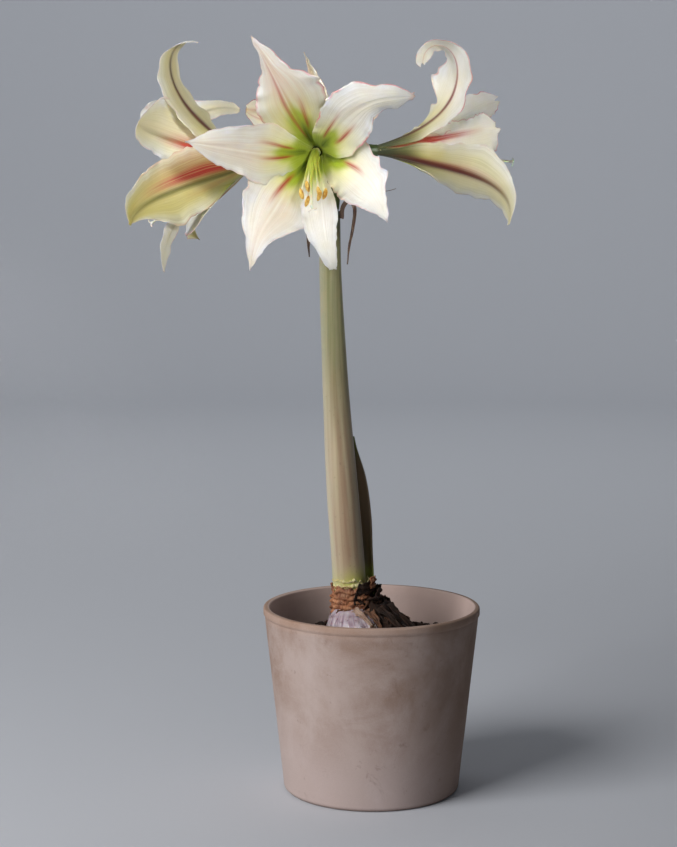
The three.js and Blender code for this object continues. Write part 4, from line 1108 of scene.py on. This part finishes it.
def outerAt(height):
    return mix(pot["foot"], pot["rim"] - pot["lipProud"], height / pot["height"])


def wallAt(height):
    return outerAt(height) - pot["wall"]


def soilHeight(x, y):
    edge = wallAt(soil["top"]) - soil["slack"]
    inside = 1 - ease(math.hypot(x, y), edge * 0.9, edge)
    relief = sum(share * math.sin(a * x + b * y + phase) for a, b, phase, share in soil["waves"])
    fromBulb = math.hypot(x - bulb["centre"][0], y - bulb["centre"][1])
    heaped = soil["mound"] * (1 - ease(fromBulb, soil["moundTo"], soil["moundFrom"]))
    lumps = 1.3 * abs(wander(x * 0.11, y * 0.11, 0, 3)) + 0.9 * wander(x * 0.33, y * 0.33, 1, 3)
    crumb = 0.55 * wander(x * 0.9, y * 0.9, 2, 3)
    return soil["top"] + soil["relief"] * relief * mix(0.4, 1, inside) + heaped + lumps + crumb


def soilFinish():
    f = Finish("pottingSoil")
    coarse = f.noise(f.place(), 220.0, 5.0, 0.7)
    fine = f.noise(f.place(), 900.0, 4.0, 0.7)
    colour = f.mixed(f.fade(coarse, 0.35, 0.7), tone(24, 17, 13), tone(66, 47, 35))
    colour = f.over(colour, tone(104, 80, 60), f.fade(fine, 0.6, 0.75), 0.6)
    f.give(Base_Color=colour, Roughness=0.95)
    f.bump(coarse, 0.8, 0.002)
    f.bump(fine, 0.7, 0.0006)
    return f.material


def makeSoil():
    bm = bmesh.new()
    edge = wallAt(soil["top"] - soil["edgeDrop"]) - soil["slack"]
    bottom, corner = pot["floor"] + 0.4, 4.5
    side = ((0.2, bottom), (wallAt(bottom) - soil["slack"] - corner, bottom),
            (wallAt(bottom + corner) - soil["slack"], bottom + corner),
            (edge, soil["top"] - soil["edgeDrop"]))
    total = soil["rings"] + len(side) - 1

    def place(u, v):
        angle = 2 * math.pi * u
        row = round(v * total)
        if row < len(side):
            radius, height = side[row]
            return Vector((math.cos(angle) * radius, math.sin(angle) * radius, height))
        radius = edge * (1 - (row - len(side) + 1) / soil["rings"]) + 0.2
        x, y = math.cos(angle) * radius, math.sin(angle) * radius
        rim = ease(radius, edge * 0.97, edge)
        return Vector((x, y, mix(soilHeight(x, y), soil["top"] - soil["edgeDrop"] / 2, rim)))

    sheet(bm, soil["segments"], total, place, around=True)
    finishPiece("soilBed", bm, [pottingSoil], ["soil"])


def onSoil(draw, nearest):
    edge = wallAt(soil["top"]) - 3.5
    while True:
        angle, radius = draw.uniform(0, 2 * math.pi), edge * math.sqrt(draw.random())
        x, y = math.cos(angle) * radius, math.sin(angle) * radius
        if math.hypot(x - bulb["centre"][0], y - bulb["centre"][1]) > nearest:
            return x, y


def makeCrumbs():
    bm = bmesh.new()
    draw = random.Random(11)
    for i in range(soil["crumbs"]):
        size = draw.uniform(*soil["crumbSize" if draw.random() < 1 - soil["clods"] else "clodSize"])
        x, y = onSoil(draw, soil["crumbsFrom"])
        made = bmesh.ops.create_icosphere(bm, subdivisions=2 if size > 1.7 else 1, radius=size)["verts"]
        seed = draw.uniform(0, 50)
        for vert in made:
            vert.co *= 1 + 0.45 * wander(vert.co.x / size, vert.co.y / size, vert.co.z / size, seed)
            vert.co.z *= 0.75
        spin = Matrix.Rotation(draw.uniform(0, 6.28), 4, Vector((draw.random(), draw.random(), 1)))
        put = Matrix.Translation((x, y, soilHeight(x, y) + size * 0.3))
        bmesh.ops.transform(bm, verts=made, matrix=put @ spin)
    for i in range(soil["chips"]):
        # bark chips and bits of old root
        x, y = onSoil(draw, soil["chipsFrom"])
        long, wide = draw.uniform(*soil["chipLength"]), draw.uniform(*soil["chipWidth"])
        made = bmesh.ops.create_cube(bm, size=1)["verts"]
        for vert in made:
            vert.co.x *= long * draw.uniform(0.8, 1.1)
            vert.co.y *= wide * draw.uniform(0.7, 1.2)
            vert.co.z *= wide * 0.6
        spin = Matrix.Rotation(draw.uniform(0, 6.28), 4, "Z")
        spin = spin @ Matrix.Rotation(draw.uniform(-0.4, 0.4), 4, "Y")
        put = Matrix.Translation((x, y, soilHeight(x, y) + 0.5))
        bmesh.ops.transform(bm, verts=made, matrix=put @ spin)
        for face in {face for vert in made for face in vert.link_faces}:
            face.material_index = 1
    finishPiece("soilCrumbs", bm, [pottingSoil, barkChip])


def makeRoots():
    bm = bmesh.new()
    draw = random.Random(5)
    for i in range(soil["roots"]):
        heading = draw.uniform(-100, 60) if i < soil["rootsAhead"] else draw.uniform(0, 360)
        start, bend = math.radians(heading), draw.uniform(-0.5, 0.5)
        x = math.cos(start) * soil["rootsFrom"] + bulb["centre"][0]
        y = math.sin(start) * soil["rootsFrom"]
        points = []
        for k in range(5):
            points.append((x, y, soilHeight(x, y) + (0.2 if k in (0, 4) else draw.uniform(0.4, 1.6))))
            step = draw.uniform(*soil["rootStep"])
            direction = start + bend * k + draw.uniform(-0.3, 0.3)
            x, y = x + math.cos(direction) * step, y + math.sin(direction) * step
            reach = math.hypot(x, y) / (wallAt(soil["top"]) - 4)
            if reach > 1:
                x, y = x / reach, y / reach
        thick = draw.uniform(*soil["rootRadius"])
        tube(bm, route(points, 24), lambda angle, s: thick * mix(1, 0.45, s), 7)
    finishPiece("soilRoots", bm, [paleRoot])


pottingSoil = soilFinish()
barkChip = plainFinish("barkChip", tone(70, 46, 32), tone(132, 98, 70), 300.0, 0.85, 0.5, (1, 1, 3))
paleRoot = plainFinish("paleRoot", tone(120, 92, 66), tone(186, 164, 132), 260.0, 0.7, 0.4)
makeSoil()
makeCrumbs()
makeRoots()
print("soil")


def clayFinish():
    f = Finish("agedClay")
    height = f.axes(f.place())[2]
    cloud = f.noise(f.place(), 11.0, 5.0, 0.62, 0.4)
    bloom = f.noise(f.place((1, 1, 0.8)), 24.0, 6.0, 0.68, 0.5)
    spots = f.noise(f.place(), 85.0, 5.0, 0.7)
    grain = f.noise(f.place(), 1300.0, 3.0, 0.7)
    turned = f.noise(f.place((1, 1, 26)), 9.0, 3.0, 0.5)
    colour = f.mixed(f.fade(cloud, 0.3, 0.7), tone(189, 169, 160), tone(148, 118, 100))
    colour = f.over(colour, tone(200, 184, 178), f.fade(bloom, 0.46, 0.72), 0.44)
    lower = f.maths("MULTIPLY", f.fade(height, 0.1, 0.01), f.fade(cloud, 0.3, 0.62, 0.2, 0.68))
    colour = f.mixed(lower, colour, tone(206, 189, 185))
    colour = f.over(colour, tone(112, 82, 68), f.fade(spots, 0.62, 0.74), 0.45)
    colour = f.over(colour, tone(176, 138, 112), f.fade(height, 0.142, 0.153), 0.45)
    # painted shade: the lowest few millimetres of the foot are darkened where the pot meets the floor
    colour = f.over(colour, tone(110, 84, 70), f.fade(height, 0.004, 0.0005), 0.6)
    colour = f.over(colour, tone(226, 210, 200), f.fade(grain, 0.35, 0.7), 0.12)
    scuffs = f.noise(f.place((1, 1, 0.7)), 46.0, 4.0, 0.75, 0.8)
    colour = f.over(colour, tone(124, 96, 82), f.fade(scuffs, 0.6, 0.72), 0.3)
    # painted shade: the side towards +X, turned from the window light, is painted darker and browner
    position = f.axes(f.place())
    shadedSide = f.maths("MULTIPLY", f.fade(position[0], 0.01, 0.08, 0.0, 0.8), f.fade(cloud, 0.25, 0.6, 0.6, 1.0))
    colour = f.mixed(shadedSide, colour, tone(112, 88, 70))
    # painted light: the inner wall is painted paler than the outer clay, where light falls into the pot; the
    # wall widens by wallSlope with its height
    wallSlope = 0.106
    squares = [f.maths("POWER", position[axis], 2.0) for axis in (0, 1)]
    radius = f.maths("SQRT", f.maths("ADD", *squares))
    levelled = f.maths("SUBTRACT", radius, f.maths("MULTIPLY", height, wallSlope))
    inside = f.fade(levelled, 0.0705, 0.0695, 0.0, 0.7)
    colour = f.mixed(inside, colour, tone(214, 190, 182))
    f.give(Base_Color=colour, Roughness=f.fade(bloom, 0.3, 0.7, 0.78, 0.92))
    f.bump(turned, 0.12, 0.0015)
    f.bump(spots, 0.12, 0.001)
    f.bump(grain, 0.22, 0.0004)
    return f.material


def potProfile():
    def arc(radius, height, size, start, end, steps):
        turns = (math.radians(mix(start, end, i / steps)) for i in range(steps + 1))
        return [(radius + math.cos(turn) * size, height + math.sin(turn) * size) for turn in turns]

    lipStart = pot["height"] - pot["lipHeight"]
    lipRound, corner = pot["lipRound"], pot["footRound"]
    points = [(0.0, 0.0), (20, 0.0), (45, 0.0)]
    points += arc(outerAt(corner) - corner, corner, corner, -90, 0, 7)
    wallTop = lipStart - pot["lipSlope"]
    points += [(outerAt(z), z) for z in [mix(corner, wallTop, i / 44) for i in range(1, 45)]]
    # a fine scored line under the lip
    points += [(outerAt(wallTop) - 0.12, wallTop + 0.7), (outerAt(wallTop), wallTop + 1.4),
               (pot["rim"] - 0.1, lipStart + 0.4), (pot["rim"], lipStart + 1.8)]
    points += arc(pot["rim"] - lipRound, pot["height"] - lipRound, lipRound, 0, 90, 7)
    points += arc(pot["rim"] - pot["wall"] + lipRound, pot["height"] - lipRound, lipRound, 90, 180, 7)
    inside = pot["floor"] + corner
    points += [(wallAt(z), z) for z in [mix(pot["height"] - 4, inside, i / 30) for i in range(31)]]
    points += arc(wallAt(inside) - corner, inside, corner, 0, -90, 5)[1:]
    return points + [(45, pot["floor"]), (20, pot["floor"]), (0.0, pot["floor"])]


def makePot():
    bm = bmesh.new()
    lathe(bm, potProfile(), pot["segments"], 1e-3)
    for vert in bm.verts:
        radius = math.hypot(vert.co.x, vert.co.y)
        if radius > 50 and vert.co.z > 2:
            # hand-smoothed clay is never quite round
            push = 0.28 * wander(vert.co.x * 0.03, vert.co.y * 0.03, vert.co.z * 0.03, 8)
            push += 0.07 * wander(vert.co.x * 0.01, vert.co.y * 0.01, vert.co.z * 0.5, 9)
            vert.co.x *= 1 + push / radius
            vert.co.y *= 1 + push / radius
    piece = finishPiece("clayPot", bm, [clayFinish()], ["pot"])
    drillDrains(piece)


def drillDrains(piece):
    bm = bmesh.new()
    for i in range(pot["drains"]):
        angle = math.radians(90 + 360 * i / pot["drains"])
        at = Matrix.Translation((math.cos(angle) * pot["drainRing"], math.sin(angle) * pot["drainRing"], 0))
        bmesh.ops.create_cone(bm, cap_ends=True, segments=pot["drainSegments"], radius1=pot["drainRadius"],
                              radius2=pot["drainRadius"], depth=pot["floor"] * 4, matrix=at)
    bmesh.ops.scale(bm, vec=(millimetre,) * 3, verts=bm.verts)
    drill = addMesh("drill", bm)
    cut = piece.modifiers.new("drains", "BOOLEAN")
    cut.object = drill
    cut.solver = "EXACT"
    bpy.context.view_layer.update()
    done = bpy.data.meshes.new_from_object(piece.evaluated_get(bpy.context.evaluated_depsgraph_get()))
    piece.modifiers.clear()
    piece.data = done
    bpy.data.objects.remove(drill)


makePot()
print("clay pot")


stageSetup = dict(floorRadius=3.2, bowl=1.2, height=3.2, segments=96)
lamps = (
    dict(name="windowLight", place=(-1.38, -1.12, 1.2), aim=(-0.02, 0, 0.35), size=(1.2, 1.4), power=36,
         colour=(0.99, 0.985, 0.99)),
    dict(name="roomLight", place=(-0.2, -2.0, 1.0), aim=(-0.02, 0, 0.4), size=(1.2, 1.0), power=0.6,
         colour=(0.97, 0.985, 1.0)),
    dict(name="bloomLight", place=(0.45, -1.6, 0.85), aim=(-0.05, 0, 0.56), size=(0.35, 0.3), power=0.26,
         colour=(1.0, 0.985, 0.96), spread=13),
    dict(name="wallLight", place=(0.0, 1.2, 2.9), aim=(0.0, 4.4, 0.9), size=(3.0, 1.2), power=41,
         colour=(0.97, 0.985, 1.0)),
)
skySetup = dict(colour=(0.92, 0.94, 1.0, 1), strength=0.025)
cameraSetup = dict(place=(-0.0275, -1.515, 0.4775), down=6.45, sensor=36, lens=1852 / 847 * 36)


def makeStage():
    f = Finish("paleFloor")
    f.give(Base_Color=tone(212, 215, 221), Roughness=0.9)
    bm = bmesh.new()
    reach, bowl = stageSetup["floorRadius"], stageSetup["bowl"]
    profile = [(0, 0), (reach * 0.5, 0), (reach, 0)]
    for degrees in range(9, 91, 9):
        turn = math.radians(degrees)
        profile.append((reach + bowl * math.sin(turn), bowl * (1 - math.cos(turn))))
    profile.append((reach + bowl, stageSetup["height"]))
    lathe(bm, profile, stageSetup["segments"], 1e-4)
    floor = addMesh("paleFloor", bm)
    floor.data.materials.append(f.material)


def addLamp(name, place, aim, size, power, colour, spread=180):
    lamp = bpy.data.lights.new(name, "AREA")
    lamp.spread = math.radians(spread)
    lamp.shape = "RECTANGLE"
    lamp.size, lamp.size_y = size
    lamp.energy = power
    lamp.color = colour
    piece = addObject(name, lamp)
    piece.location = place
    piece.rotation_euler = (Vector(aim) - Vector(place)).to_track_quat("-Z", "Y").to_euler()


def addSky():
    world = bpy.data.worlds.new("softSky")
    world.use_nodes = True
    world.node_tree.nodes["Background"].inputs["Color"].default_value = skySetup["colour"]
    world.node_tree.nodes["Background"].inputs["Strength"].default_value = skySetup["strength"]
    bpy.context.scene.world = world


def addCamera():
    camera = addObject("camera", bpy.data.cameras.new("camera"))
    camera.data.sensor_width = cameraSetup["sensor"]
    camera.data.lens = cameraSetup["lens"]
    camera.location = cameraSetup["place"]
    camera.rotation_euler = (math.radians(90 - cameraSetup["down"]), 0, 0)
    bpy.context.scene.camera = camera


makeStage()
for lamp in lamps:
    addLamp(**lamp)
addSky()
addCamera()
bpy.context.scene.view_settings.view_transform = "Standard"
print("stage, light and camera")
